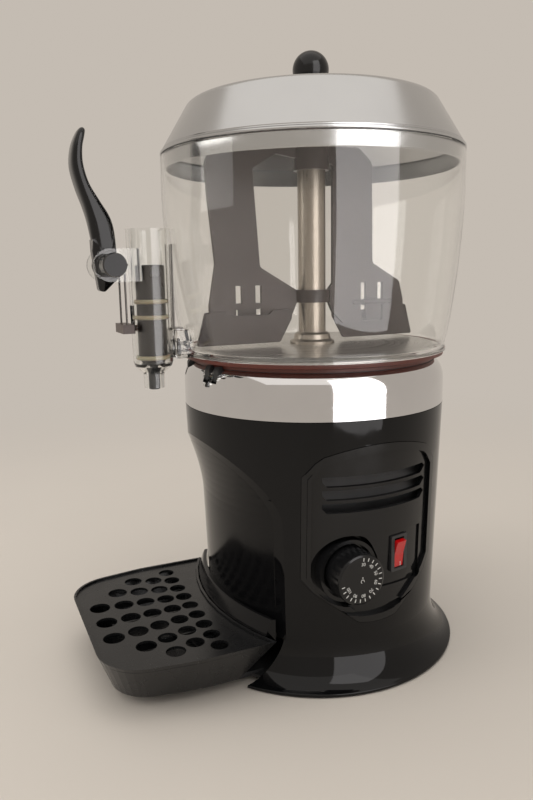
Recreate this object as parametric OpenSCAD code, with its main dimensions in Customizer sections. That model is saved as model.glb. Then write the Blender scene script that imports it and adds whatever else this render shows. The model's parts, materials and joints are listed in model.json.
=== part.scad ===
// Hot chocolate dispenser: a round black base with a drip tray in front, a clear
// bowl with a stirrer on a steel column, a lever tap, and a domed steel lid.
// Millimetres. The origin is on the machine's vertical axis, on the table.
// +Z is up, the tap and the drip tray face -Y, the control panel faces +X.

/* [Foot and body] */
// Radius of the foot at the table
foot_r = 142; // [136:1:146]
// Height over which the foot flares out from the seam
flare_h = 40; // [38:0.5:41]
// Height of the seam between the foot and the body
seam_z = 43; // [40:0.5:48]
// Radius of the body at the seam
body_low_r = 121; // [118:0.5:124]
// Radius of the body at its top
body_top_r = 127.8; // [125:0.5:130]
// Height of the body's top, where the chrome ring starts
body_top_z = 245; // [238:1:252]
// Wall of the foot and of the body
shell_wall = 2.6; // [2:0.2:3.4]
// Height of the rubber foot ring
rubber_h = 5; // [4:0.5:7]
// Half the width of the rubber foot ring
rubber_r = 11; // [8:0.5:14]

/* [Cup recess] */
// Distance of the recess wall from the axis, at its middle
recess_y = 110; // [106:0.5:114]
// Radius of the recess wall in plan
recess_bow_r = 166; // [155:1:180]
// Height at which the recess wall starts to sweep forward
recess_sweep_z = 150; // [140:1:160]
// Height of the recess's apex
recess_apex_z = 218; // [208:1:226]
// Distance of the band's lower edge from the axis, at its middle
band_y = 116; // [114:0.5:119]
// Radius of the band in plan
band_bow_r = 226; // [210:1:240]
// Height of the band's sloping top edge
band_top_z = 64; // [60:1:70]

/* [Chrome ring] */
// Height of the chrome ring
ring_h = 42.5; // [38:0.5:48]
// Wall of the chrome ring
ring_wall = 1.2; // [0.8:0.1:1.6]
// Height of the ring's rounded shoulder
ring_shoulder_h = 20; // [16:1:24]
// Angle of the retaining lugs from the front, on either side
lug_angle = 16; // [12:1:22]

/* [Bowl] */
// Height of the bowl's lower rim
bowl_z = 294; // [292:0.5:298]
// Height of the bowl's upper rim
bowl_rim_z = 477; // [465:1:490]
// Outer radius of the bowl at its upper rim
bowl_rim_r = 143; // [141:0.5:146]
// Inner radius of the bowl at its lower rim
bowl_throat_r = 125.3; // [124.8:0.1:126.4]
// Wall of the bowl
bowl_wall = 3; // [2.4:0.2:4]

/* [Dish and column] */
// Height of the heating dish's flat top
dish_z = 300; // [299:0.5:302]
// Radius of the heating dish's flat top
dish_flat_r = 117.5; // [112:0.5:119]
// Thickness of the heating dish
dish_wall = 1.5; // [1.2:0.1:2]
// Outer radius of the column
column_r = 13.4; // [12:0.2:15]
// Height of the column's top
column_top_z = 472; // [462:1:478]
// Radius of the drive shaft
shaft_r = 4; // [3:0.5:5]

/* [Stirrer] */
// Thickness of the stirrer's blades
blade_t = 4; // [3:0.5:5]
// Reach of the scrapers at the bottom, from the axis
scraper_reach = 121; // [116:0.5:122]
// Height of the scraper hinges
scraper_hinge_z = 338; // [334:1:342]
// Gap between the scrapers and the dish
scraper_lift = 3; // [1.5:0.5:5]
// Thickness of a scraper
scraper_t = 2.4; // [2:0.2:3]
// Radius of a scraper's hinge pin
scraper_pin_r = 1.5; // [1.2:0.1:1.8]
// Radius of the collar
collar_r = 18; // [17:0.5:20]
// Height of the collar's lower face
collar_z = 340; // [337:1:346]
// Height of the collar
collar_h = 12; // [8:1:14]

/* [Lid] */
// How far the lid's rim lies inside the bowl's rim
lid_inset = 1; // [0:0.5:2]
// Radius of the lid where its flank turns into its dome
lid_shoulder_r = 118.5; // [114:0.5:122]
// Height of that shoulder above the rim
lid_shoulder_h = 41.2; // [36:0.2:46]
// Radius of the turn at the shoulder
lid_fillet_r = 12; // [8:1:16]
// Slope of the dome at its edge, in degrees
lid_dome_a = 13; // [10:0.5:16]
// Wall of the lid
lid_wall = 1.4; // [1:0.1:2]
// Radius of the ball knob
knob_r = 17; // [14:0.5:20]

/* [Tap] */
// Height of the tap tube's top
tap_top_z = 409; // [402:1:414]
// Outer radius of the tap tube at its top
tap_top_r = 19.7; // [19:0.1:20]
// Outer radius of the tap tube at its bottom
tap_low_r = 18; // [17.6:0.1:18.6]
// Radius of the tap tube's bore
tap_bore_r = 15.6; // [15:0.1:16]
// Height of the nozzle's mouth
nozzle_z = 268; // [262:1:272]
// Bore radius of the nozzle
nozzle_bore_r = 7; // [6:0.5:8]
// Height of the inlet from the bowl
inlet_z = 303; // [302:0.5:305]
// Bore radius of the inlet
inlet_r = 6; // [5:0.5:6.5]
// Distance of the lever's pivot from the tap's axis
pivot_out = 38.1; // [36:0.5:42]
// Height of the lever's pivot
pivot_z = 378; // [374:1:382]
// Radius of the lever's pin
pin_r = 4; // [3:0.25:4.5]
// Outer width over the two ears
ears_w = 32; // [28:0.5:34]
// Thickness of one ear
ear_t = 3; // [2.5:0.25:3.5]
// Width of the lever's grip
grip_w = 26; // [22:0.5:28]
// Radius of the plunger
plunger_r = 13; // [12.4:0.1:13.6]
// Travel of the plunger from closed to open
plunger_travel = 14.8; // [12:0.1:15]

/* [Drip tray] */
// Height of the tray's rim
tray_top_z = 50; // [46:0.5:52]
// Height of the tray's underside
tray_low_z = 10; // [9:0.5:14]
// Half width of the tray at its rim
tray_half_w = 104.5; // [100:0.5:108]
// Distance of the tray's front from the axis
tray_front = 239.5; // [230:0.5:248]
// Wall of the tray
tray_wall = 2.2; // [1.8:0.1:2.8]
// Radius of the grid's largest holes
grid_hole_r = 9.8; // [8.5:0.1:10.2]

/* [Controls] */
// Distance of the dial well's flat floor from the axis
floor_x = 106; // [104:0.5:108]
// Height of the dial's centre
dial_z = 109; // [105:1:113]
// Offset of the dial's centre along Y
dial_y = -26; // [-30:1:-22]
// Radius of the dial
dial_r = 23; // [20:0.5:24.5]
// Distance that the dial's face stands off the floor
dial_h = 34; // [28:0.5:36]
// Radius of the circular well round the dial
well_r = 33; // [31:0.5:34]
// Offset of the switch's centre along Y
switch_y = 26; // [25:0.5:28]
// Height of the switch's centre
switch_z = 117.5; // [115:0.5:120]

/* [Hidden] */
$fn = 96;
eps = 0.01;

// Clearance between pieces that move past each other
gap = 0.3;
// Radial clearance of a running fit
run = 0.06;
// Distance of the tap's axis from the machine's axis: its tube bears on the bowl's rim
tap_y = bowl_rim_r + tap_top_r - gap;

ring_top_z = body_top_z + ring_h;
carrier_top_z = ring_top_z - 1.5;
lid_z = bowl_rim_z + gap;
lid_r = bowl_rim_r - lid_inset;
// Slope of the lid's flank, the centre of its shoulder's turn and the sphere of its dome
flank_a = atan2(lid_shoulder_h - 3, lid_r - lid_shoulder_r);
shoulder_c = [lid_shoulder_r - lid_fillet_r * sin(flank_a), lid_z + lid_shoulder_h - lid_fillet_r * cos(flank_a)];
dome_edge = shoulder_c + lid_fillet_r * [sin(lid_dome_a), cos(lid_dome_a)];
dome_r = dome_edge[0] / sin(lid_dome_a);
lid_crown_z = dome_edge[1] + dome_r * (1 - cos(lid_dome_a));
floor_z = 8;
pivot_y = -(tap_y + pivot_out);
tap_floor_z = inlet_z - inlet_r - 6;
recess_c = recess_bow_r - recess_y;
band_c = band_bow_r - band_y;

// --- Helpers -----------------------------------------------------------------

function unit(v) = v / norm(v);
// Points of an arc round c from angle a to angle b
function arc(c, r, a, b, n) = [for (i = [0:n]) let (t = a + (b - a) * i / n) c + r * [cos(t), sin(t)]];
// The corner at p, between a and b, rounded to the radius r with n steps
function corner(a, p, b, r, n) =
    let (u = unit(a - p), v = unit(b - p), half = acos(u * v) / 2,
         c = p + unit(u + v) * r / sin(half), s = p + u * r / tan(half), e = p + v * r / tan(half),
         t0 = atan2(s[1] - c[1], s[0] - c[0]), t1 = atan2(e[1] - c[1], e[0] - c[0]),
         d = (t1 - t0 + 540) % 360 - 180)
    arc(c, r, t0, t0 + d, n);
// A closed outline through [x, y, radius] points, with every corner rounded
function rounded(p, n = 6) =
    let (m = len(p))
    [for (i = [0:m - 1])
        let (a = p[(i + m - 1) % m], q = p[i], b = p[(i + 1) % m])
        each (q[2] == 0 ? [[q[0], q[1]]]
            : corner([a[0], a[1]], [q[0], q[1]], [b[0], b[1]], q[2], n))];
// A list of [x, y, radius] points mirrored in the Y axis and joined to itself
function both_sides(p) =
    concat(p, [for (i = [len(p) - 1:-1:0]) [-p[i][0], p[i][1], p[i][2]]]);
function lift(ring, z) = [for (p = ring) [p[0], p[1], z]];

// A solid through rings of equally many points, lowest ring first
module loft(rings) {
    n = len(rings[0]);
    m = len(rings);
    sides = [for (k = [0:m - 2]) for (i = [0:n - 1]) let (j = (i + 1) % n)
        each [[k * n + i, (k + 1) * n + i, (k + 1) * n + j], [k * n + i, (k + 1) * n + j, k * n + j]]];
    polyhedron([for (r = rings) each r],
        concat([[for (i = [0:n - 1]) i]], sides, [[for (i = [n - 1:-1:0]) (m - 1) * n + i]]));
}
// A plate in the plane of Y and Z, from x0 to x1
module plate_yz(x0, x1) {
    translate([x0, 0, 0]) rotate([90, 0, 90]) linear_extrude(x1 - x0) children();
}
module rod_x(r, x0, x1, y = 0, z = 0) {
    translate([x0, y, z]) rotate([0, 90, 0]) cylinder(r = r, h = x1 - x0);
}
module rod_y(r, y0, y1, x = 0, z = 0) {
    translate([x, y0, z]) rotate([-90, 0, 0]) cylinder(r = r, h = y1 - y0);
}
module tube(r_out, r_in, z0, z1) {
    difference() {
        translate([0, 0, z0]) cylinder(r = r_out, h = z1 - z0);
        translate([0, 0, z0 - 1]) cylinder(r = r_in, h = z1 - z0 + 2);
    }
}
// A turned shell between an outer and an inner line of [radius, height] points
module turned(outer, inner) {
    rotate_extrude($fn = 180)
        polygon(concat(outer, [for (i = [len(inner) - 1:-1:0]) inner[i]]));
}
module on_tap() {
    translate([0, -tap_y, 0]) children();
}

// --- Foot and base -------------------------------------------------------------

foot_lip_z = 0.8;
// The flare is part of an ellipse that would run on past the lip
flare_past = 5;
flare_w = foot_r + flare_past - body_low_r;
flare_a = acos(flare_past / flare_w);
foot_flare = [for (i = [12:-1:0]) let (t = flare_a * i / 12)
    [foot_r + flare_past - flare_w * cos(t), seam_z - flare_h * sin(t)]];
// The base plate's edge stands a gap inside the flare's wall
base_r = foot_r + flare_past - flare_w * sqrt(1 - pow((seam_z - floor_z - shell_wall) / flare_h, 2))
    - shell_wall - gap;
// Half width of the foot's front opening, which follows the tray's drafted sides
function opening_half(z) = 86 + 6.2 * z / seam_z;
body_half_w = opening_half(seam_z);
feet_ring_r = 112;
post_r = 5;
register_t = 3;

module front_opening(grow = 0) {
    top = seam_z + 2;
    translate([0, -60, 0]) rotate([90, 0, 0]) linear_extrude(120)
        polygon([[-opening_half(0) - grow, -1], [opening_half(0) + grow, -1],
                 [opening_half(top) + grow, top], [-opening_half(top) - grow, top]]);
}
module foot_skirt() color("#141416") difference() {
    turned(
        concat([[foot_r - 1, foot_lip_z], [foot_r, foot_lip_z + 1]], foot_flare),
        concat([[foot_r - shell_wall, foot_lip_z]],
               [for (p = foot_flare) [p[0] - shell_wall, max(p[1] - shell_wall, foot_lip_z + 0.2)]],
               [[body_low_r - shell_wall, seam_z]]));
    front_opening();
}
module feet_places() {
    for (a = [45, 135, 225, 315]) rotate([0, 0, a]) translate([feet_ring_r, 0, 0]) children();
}
module base_plate() color("#26262a") difference() {
    union() {
        // The floor of the base, with its edge under the body's wall
        difference() {
            translate([0, 0, rubber_h]) cylinder(r = base_r, h = floor_z - rubber_h, $fn = 180);
            translate([0, -60 - recess_c, 0]) translate([-150, -200, 0]) cube([300, 160, 20]);
        }
        // Posts inside the body's register
        for (a = [20, 70, 110, 160, 200, 340]) rotate([0, 0, a])
            translate([body_low_r - shell_wall - register_t - gap - post_r, 0, floor_z])
                cylinder(r = post_r, h = seam_z - floor_z - gap);
        // Two arms that carry the tray
        for (s = [-1, 1]) translate([s * 70 - 6, -152, rubber_h]) cube([12, 60, tray_low_z - gap - rubber_h]);
    }
    feet_places() translate([0, 0, rubber_h - 1]) cylinder(r = 2.2, h = 20);
    // Air slots in the floor
    for (i = [-3:3]) translate([-30, 30 + i * 9, 0]) cube([60, 4, 20]);
}
// One moulded ring under the whole base, held up by four screws
module rubber_feet() color("#101010") difference() {
    rotate_extrude($fn = 180) translate([feet_ring_r, 0]) polygon([[1 - rubber_r, 0], [rubber_r - 1, 0],
        [rubber_r, 1], [rubber_r - 1.2, rubber_h], [1.2 - rubber_r, rubber_h], [-rubber_r, 1]]);
    feet_places() translate([0, 0, rubber_h - 3]) cylinder(r = 2.2, h = 5);
}
module base_screws() color("#9a9a9e") feet_places() {
    translate([0, 0, rubber_h - 3]) cylinder(r = 2, h = floor_z - rubber_h + 3);
    translate([0, 0, floor_z]) cylinder(r = 4, h = 2.4);
}

// --- Body shell and cup recess ---------------------------------------------------

function shell_r(z) = body_low_r + (body_top_r - body_low_r) * (z - seam_z) / (body_top_z - seam_z);
// Radius of the recess wall about its own axis, which sweeps forward to meet the shell
recess_sweep = recess_c + shell_r(recess_apex_z) - recess_bow_r;
function recess_r(z) = z <= recess_sweep_z
    ? recess_bow_r - (shell_r(recess_sweep_z) - shell_r(z))
    : recess_bow_r + recess_sweep * pow((z - recess_sweep_z) / (recess_apex_z - recess_sweep_z), 1.6);
recess_line = [for (z = [seam_z, each [recess_sweep_z:8:recess_apex_z + 6]]) [recess_r(z), z]];

// Everything in front of the recess wall, moved back by a distance
module recess_front(back = 0) {
    far = recess_bow_r + 80;
    translate([0, recess_c, 0]) intersection() {
        rotate_extrude($fn = 240) polygon(concat(
            [[recess_line[0][0] - back, seam_z - 5]], [for (p = recess_line) [p[0] - back, p[1]]],
            [[far, recess_line[len(recess_line) - 1][1]], [far, seam_z - 5]]));
        translate([-body_half_w - 12, -far - 1, seam_z - 6]) cube([2 * body_half_w + 24, far, 300]);
    }
}
module shell_band(inset, wall, z0, z1) {
    turned([[shell_r(z0) - inset, z0], [shell_r(z1) - inset, z1]],
           [[shell_r(z0) - inset - wall, z0], [shell_r(z1) - inset - wall, z1]]);
}
module body_shell() color("#0d0d0f") difference() {
    union() {
        shell_band(0, shell_wall, seam_z, body_top_z);
        // Ledge that carries the ring and the top carrier
        tube(body_top_r - 1, body_top_r - 22, body_top_z - 4, body_top_z);
        // Register that stands inside the foot, cut back from the recess wall
        difference() {
            union() {
                tube(body_low_r - shell_wall - gap, body_low_r - shell_wall - register_t, seam_z - 6, seam_z + 3);
                tube(body_low_r - shell_wall + 1, body_low_r - shell_wall - register_t, seam_z + gap, seam_z + 3);
            }
            recess_front(shell_wall + gap);
        }
    }
    recess_front();
    translate([0, 0, seam_z - 10]) front_slot();
    intersection() {
        plate_yz(60, 140) panel_outline();
        translate([0, 0, seam_z]) cylinder(r = 140, h = 200);
    }
    rear_vents();
    rod_y(gland_neck_r + run, 90, 140, 0, gland_z);
}
// The register is left out where the recess opens
module front_slot() {
    translate([-body_half_w, -140, 0]) cube([2 * body_half_w, 80, 10]);
}
vent_w = 44;
vent_h = 3.5;
vent_pitch = 8;
module rear_vents() {
    for (i = [0:7]) translate([-vent_w / 2, 90, 180 - i * vent_pitch]) cube([vent_w, 60, vent_h]);
}
module recess_panel() color("#0b0b0d") {
    // The bowed wall, which ends inside the shell
    intersection() {
        difference() {
            recess_front(shell_wall);
            recess_front();
        }
        translate([0, 0, seam_z]) cylinder(r1 = shell_r(seam_z) - shell_wall - 0.1,
            r2 = shell_r(body_top_z - 4) - shell_wall - 0.1, h = body_top_z - 4 - seam_z, $fn = 180);
    }
    // The sloping band above the tray
    intersection() {
        translate([0, band_c, 0]) rotate_extrude($fn = 240)
            polygon([[band_bow_r - 9.5, seam_z + 1], [band_bow_r - 1, seam_z + 1], [band_bow_r, tray_top_z - 2],
                     [band_bow_r - 1.2, tray_top_z + 2], [band_bow_r - 5.5, band_top_z - 1],
                     [band_bow_r - 6.5, band_top_z], [band_bow_r - 9.5, band_top_z]]);
        translate([-body_half_w + 0.5, -140, seam_z]) cube([2 * body_half_w - 1, 60, 40]);
    }
}

// --- Chrome ring and the top of the body ------------------------------------------

ring_curl = 12;
ring_lip_r = body_top_r - 8.8;
function ring_shoulder(inset) = [for (t = [0:7:74])
    [body_top_r - ring_curl + (ring_curl - inset) * cos(t),
     ring_top_z - ring_shoulder_h + (ring_shoulder_h - inset) * sin(t)]];
lug_w = 7;
lug_z = ring_top_z - 13;
module lug_places() {
    for (a = [-lug_angle - 3, -lug_angle + 3, lug_angle - 3, lug_angle + 3])
        rotate([0, 0, -90 + a]) children();
}
module chrome_ring() color("#d8d9dc") difference() {
    turned(concat([[body_top_r, body_top_z]], ring_shoulder(0)),
           concat([[body_top_r - ring_wall, body_top_z]], ring_shoulder(ring_wall)));
    lug_places() translate([ring_lip_r - 6, -lug_w / 2, lug_z]) cube([20, lug_w, 20]);
}
module bowl_lugs() color("#121212") lug_places() difference() {
    translate([ring_lip_r - 4, -lug_w / 2 + gap, lug_z + gap]) cube([9.5, lug_w - 2 * gap, 13]);
    translate([ring_lip_r + 5.5, -5, ring_top_z - 3]) rotate([0, -35, 0]) cube([10, 10, 12]);
    // Room for the seal inside the lugs
    translate([0, 0, carrier_top_z - gap]) cylinder(r = ring_lip_r - 0.6 + gap, h = 20, $fn = 180);
}
module top_carrier() color("#1c1c1e") difference() {
    union() {
        tube(ring_lip_r - 0.6, ring_lip_r - 7, body_top_z, carrier_top_z);
        // Foot ring on the body's ledge
        tube(body_top_r - 6, ring_lip_r - 12, body_top_z, body_top_z + 4);
        // Shelf that stiffens the top
        tube(ring_lip_r - 1, ring_lip_r - 14, carrier_top_z - 4, carrier_top_z);
    }
    lug_places() translate([ring_lip_r - 4 - gap, -lug_w / 2, lug_z]) cube([20, lug_w, 20]);
}
module bowl_seal() color("#c8371c") turned(
    [[ring_lip_r - 0.8, carrier_top_z], [ring_lip_r - 0.6, ring_top_z + 1], [body_top_r - 1, ring_top_z + 3],
     [body_top_r - 0.6, bowl_z - 1.4], [body_top_r - 1.2, bowl_z]],
    [[ring_lip_r - 8, carrier_top_z], [ring_lip_r - 8, bowl_z]]);

dish_lip_r = bowl_throat_r - 0.7;
dish_line = [[dish_lip_r, bowl_z], [dish_lip_r, bowl_z + dish_wall],
    [dish_flat_r + 4, bowl_z + dish_wall], [dish_flat_r + 2.4, bowl_z + 2], [dish_flat_r + 1, dish_z - 1],
    [dish_flat_r, dish_z]];
module heating_dish() color("#b8b4ac") difference() {
    turned(concat(dish_line, [[column_r - 1, dish_z]]),
           [[dish_flat_r, bowl_z], [dish_flat_r, dish_z - dish_wall], [column_r - 1, dish_z - dish_wall]]);
}
heater_r = 4;
module heater_element() color("#8f8d88") rotate_extrude() {
    for (r = [60, 90]) translate([r, dish_z - dish_wall - heater_r]) circle(r = heater_r, $fn = 24);
}

// --- Column, motor and drive ---------------------------------------------------------

column_bore_r = column_r - 1.5;
bush_h = 10;
hub_z = column_top_z + gap;
shaft_top_z = column_top_z + 12;
module column() color("#a9a69f") difference() {
    union() {
        translate([0, 0, dish_z]) cylinder(r = column_r, h = column_top_z - dish_z);
        // Stepped foot on the dish
        rotate_extrude() polygon([[0, dish_z], [22, dish_z], [22, dish_z + 2.5], [18.5, dish_z + 4.5],
            [17.5, dish_z + 9], [15, dish_z + 11], [0, dish_z + 11]]);
    }
    translate([0, 0, dish_z - 1]) cylinder(r = column_bore_r, h = 200);
}
module column_bushes() color("#d9d4c4") for (z = [dish_z, column_top_z - bush_h]) translate([0, 0, z]) difference() {
    cylinder(r = column_bore_r, h = bush_h);
    translate([0, 0, -1]) cylinder(r = shaft_r + run, h = bush_h + 2);
}
bracket_z = body_top_z + 4;
module motor_bracket() color("#9d9c98") difference() {
    union() {
        translate([-(ring_lip_r - 9), -24, bracket_z]) cube([2 * (ring_lip_r - 9), 48, 3]);
        for (s = [-1, 1]) translate([s * (ring_lip_r - 17) - 6, -24, bracket_z]) cube([12, 48, 8]);
    }
    translate([0, 0, bracket_z - 1]) cylinder(r = 12, h = 12);
    difference() {
        translate([-150, -30, bracket_z - 1]) cube([300, 60, 12]);
        translate([0, 0, bracket_z - 2]) cylinder(r = ring_lip_r - 12.2, h = 14, $fn = 180);
    }
}
module gear_motor() color("#6d6f73") {
    // Gearbox under the bracket
    translate([-38, -30, bracket_z - 30]) cube([76, 60, 30 - 0.01]);
    // Motor below it
    translate([-8, 0, bracket_z - 95]) cylinder(r = 29, h = 65);
    translate([0, 0, bracket_z - 0.01]) difference() {
        cylinder(r = 11.5, h = 6);
        translate([0, 0, 2]) cylinder(r = shaft_r + run, h = 6);
    }
}
module drive_shaft() color("#c4c4c4") difference() {
    translate([0, 0, bracket_z + 2]) cylinder(r = shaft_r, h = shaft_top_z - bracket_z - 2);
    // Flat that drives the stirrer
    translate([shaft_r - 1, -5, column_top_z + 2]) cube([4, 10, 12]);
}

// --- Stirrer ----------------------------------------------------------------------

blade_low_z = 317.5;
hub_top_z = column_top_z + 15;
hub_r = 17;
// Blade outlines, as [distance from the axis, height, corner radius]
blade_out = [
    [hub_r - 4, hub_top_z, 0], [98, hub_top_z, 10], [108, 468, 16], [106, 436, 30], [100.5, 378, 12],
    [107, 341, 8], [107, blade_low_z, 3], [35, blade_low_z, 6], [22, 330, 4],
    [collar_r - 0.5, collar_z, 0], [collar_r - 0.5, collar_z + collar_h, 0], [56, 374.5, 5],
    [62, 464, 4], [38, 478, 4], [hub_r - 4, column_top_z + 2, 0]];
blade_in = [
    [hub_r - 4, hub_top_z, 0], [52, hub_top_z, 8], [66.5, 474, 8], [68.4, 377, 4],
    [101, 358.5, 4], [106, 340, 3], [107, blade_low_z, 3], [35, blade_low_z, 6], [22, 330, 4],
    [collar_r - 0.5, collar_z, 0], [collar_r - 0.5, collar_z + collar_h, 0], [22.5, 358, 3],
    [22.5, 470, 3], [hub_r - 4, column_top_z + 2, 0]];
// The clip window of a blade: its middle, its half width and its rows
clip_y = 68;
clip_half = 13.2;
tongue_half = 6.8;
pin_x = blade_t / 2 + scraper_pin_r + 0.2;

module blade(outline) {
    difference() {
        union() {
            plate_yz(-blade_t / 2, blade_t / 2) polygon(rounded(outline, 5));
            // Bearing blocks for the pin's ends
            for (y = [clip_y - clip_half - 5, clip_y + clip_half + 1])
                translate([0, y, scraper_hinge_z - 2.6]) cube([pin_x, 4, 5.2]);
        }
        // Window above the pin, with the tongue left in it
        for (s = [-1, 1]) translate([-10, clip_y + s * (clip_half + tongue_half) / 2, scraper_hinge_z + 11])
            cube([40, clip_half - tongue_half, 17], center = true);
        translate([-10, clip_y - clip_half, scraper_hinge_z - 19]) cube([20, 2 * clip_half, 17]);
        rod_y(scraper_pin_r + run, clip_y - clip_half - 7, clip_y + clip_half + 7, pin_x, scraper_hinge_z);
    }
}
module stirrer() color("#6a5a56") difference() {
    union() {
        rotate([0, 0, 180]) blade(blade_out);
        blade(blade_in);
        translate([0, 0, column_top_z - 8]) cylinder(r = hub_r, h = hub_top_z - column_top_z + 8);
    }
    // Seat on the column, with running clearance, and the socket for the shaft
    translate([0, 0, column_top_z - 9]) cylinder(r = column_r + gap, h = 9 + gap);
    difference() {
        translate([0, 0, column_top_z - 1]) cylinder(r = shaft_r + run, h = shaft_top_z - column_top_z + 1);
        translate([shaft_r - 1 + run, -5, column_top_z + 2]) cube([4, 10, 20]);
    }
}
module stirrer_collar() color("#3b2a26") difference() {
    tube(collar_r, column_r + gap, collar_z, collar_z + collar_h);
    for (a = [0, 180]) rotate([0, 0, a])
        translate([-blade_t / 2, collar_r - 0.5, collar_z - 1]) cube([blade_t, 5, collar_h + 2]);
}
pin_ball_r = scraper_pin_r + 0.9;
// Middle of the pin to the centre of the ball outside its bearing block
pin_end = clip_half + 5 + gap + pin_ball_r;
module scraper_pins() color("#5b4c48") for (a = [0, 180]) rotate([0, 0, a]) difference() {
    union() {
        rod_y(scraper_pin_r, clip_y - pin_end, clip_y + pin_end, pin_x, scraper_hinge_z);
        for (s = [-1, 1])
            translate([pin_x, clip_y + s * pin_end, scraper_hinge_z]) sphere(r = pin_ball_r, $fn = 24);
    }
    // The balls are flat on the side of the blade
    translate([-10, clip_y - 40, scraper_hinge_z - 10]) cube([10 + blade_t / 2 + eps, 80, 20]);
}
scraper_low_z = dish_z + scraper_lift;
scraper_x = blade_t / 2 + gap;
module scraper(outer) {
    // The flap behind its blade
    plate_yz(scraper_x, scraper_x + scraper_t) polygon(rounded(outer, 4));
}
flap_line = [[scraper_reach, scraper_low_z, 2], [scraper_reach - 8.5, 334, 2], [92, 334, 2], [88, 330, 3],
    [48, 330, 3], [44, 334, 2], [24, 334, 2], [24.5, 325, 4], [37, scraper_low_z, 3]];
// The clip that hooks over the pin through the blade's window
module scraper_clip() {
    difference() {
        union() {
            rod_y(scraper_pin_r + 1.6, clip_y - clip_half + 0.6, clip_y + clip_half - 0.6, pin_x, scraper_hinge_z);
            translate([-scraper_x - scraper_t, clip_y - 9, scraper_hinge_z - 16])
                cube([pin_x + scraper_x + scraper_t, 18, 3]);
            translate([pin_x - 1.6, clip_y - 9, scraper_hinge_z - 16]) cube([3.2, 18, 16]);
        }
        rod_y(scraper_pin_r + run, clip_y - 40, clip_y + 40, pin_x, scraper_hinge_z);
        // The knuckle is open towards the blade
        translate([-blade_t, clip_y - 20, scraper_hinge_z - 4]) cube([blade_t + blade_t / 2 + gap, 40, 8]);
    }
}
module scraper_pair_part() {
    mirror([1, 0, 0]) scraper(flap_line);
    scraper_clip();
}
module scraper_rear() color("#5f524e") scraper_pair_part();
module scraper_front() color("#5f524e") rotate([0, 0, 180]) scraper_pair_part();

// --- Bowl ----------------------------------------------------------------------------

// Outer line of the bowl, as [share of the way from throat to rim, share of the height]
bowl_base_r = bowl_throat_r + bowl_wall + 0.7;
bowl_h = bowl_rim_z - bowl_z;
bowl_curve = [[-0.06, 0.028], [0, 0.045], [0.15, 0.1], [0.36, 0.2], [0.51, 0.29],
    [0.68, 0.4], [0.82, 0.525], [0.94, 0.66], [1, 0.79]];
function bowl_line(inset) = [for (p = bowl_curve)
    [bowl_base_r - 0.5 + (bowl_rim_r - bowl_base_r + 0.5) * p[0] - inset, bowl_z + bowl_h * p[1]]];
block_half = 13;
block_top_z = inlet_z + inlet_r + 11;
block_y = tap_y - tap_low_r - 0.6;
module bowl() color("#dfe6e8", 0.35) difference() {
    union() {
        turned(
            concat([[bowl_base_r, bowl_z], [bowl_base_r, bowl_z + 3.2]], bowl_line(0), [[bowl_rim_r, bowl_rim_z]]),
            concat([[bowl_throat_r, bowl_z], [bowl_throat_r, bowl_z + 8]],
                   [for (p = bowl_line(bowl_wall)) if (p[0] > bowl_throat_r && p[1] > bowl_z + 9) p],
                   [[bowl_rim_r - bowl_wall, bowl_rim_z]]));
        // Socket block that the tap plugs into
        difference() {
            translate([-block_half, -block_y, bowl_z]) cube([2 * block_half, 40, block_top_z - bowl_z]);
            translate([0, 0, bowl_z - 1]) cylinder(r = bowl_throat_r + 1.5, h = 60, $fn = 180);
        }
    }
    rod_y(inlet_r, -tap_y, -100, 0, inlet_z);
    // Counterbore for the inlet seal
    rod_y(inlet_r + 3, -block_y - 1, -block_y + 5, 0, inlet_z);
}

// --- Tap ------------------------------------------------------------------------------

inner_half = ears_w / 2 - ear_t;
slot_half = 4;
slot_low_z = 323 - slot_half - 1;
funnel_h = 8;
tap_stub_y = tap_y - block_y + 4.5;
module tap_body() color("#dfe6e8", 0.35) difference() {
    union() {
        on_tap() rotate_extrude() polygon([[0, nozzle_z], [nozzle_bore_r + 2.3, nozzle_z],
            [nozzle_bore_r + 2.6, nozzle_z + 13], [tap_low_r - 1.5, tap_floor_z - 3],
            [tap_low_r, tap_floor_z + 1], [tap_top_r, tap_top_z], [0, tap_top_z]]);
        // Ears that carry the lever
        for (s = [-1, 1]) plate_yz(s > 0 ? inner_half : -inner_half - ear_t, s > 0 ? inner_half + ear_t : -inner_half)
            polygon(ear_line());
        // Stub that plugs into the bowl's socket
        rod_y(inlet_r + 2.6, -tap_y, -tap_y + tap_stub_y, 0, inlet_z);
    }
    on_tap() {
        translate([0, 0, tap_floor_z]) cylinder(r = tap_bore_r, h = 200);
        translate([0, 0, tap_floor_z - funnel_h]) cylinder(r1 = nozzle_bore_r, r2 = tap_bore_r, h = funnel_h + eps);
        translate([0, 0, nozzle_z - 1]) cylinder(r = nozzle_bore_r, h = 30);
    }
    rod_y(inlet_r, -tap_y, -100, 0, inlet_z);
    rod_x(pin_r + run, -30, 30, pivot_y, pivot_z);
    // Slot for the cross bar's stem
    translate([-slot_half, -tap_y - 30, slot_low_z]) cube([2 * slot_half, 30, plunger_travel + 2 * slot_half + 2]);
}
ear_r = 14;
function ear_line() = concat(
    [[-tap_y - 4, pivot_z + ear_r], [pivot_y, pivot_z + ear_r]],
    arc([pivot_y, pivot_z], ear_r, 96, 264, 20),
    [[pivot_y, pivot_z - ear_r], [-tap_y - 4, pivot_z - ear_r]]);
module tap_inlet_seal() color("#161616") difference() {
    rod_y(inlet_r + 2.9, -block_y + 0.2, -block_y + 4.8, 0, inlet_z);
    rod_y(inlet_r + 2.62, -block_y - 1, -block_y + 9, 0, inlet_z);
}
retainer_z = 396;
retainer_y = tap_y - tap_top_r - gap;
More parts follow.
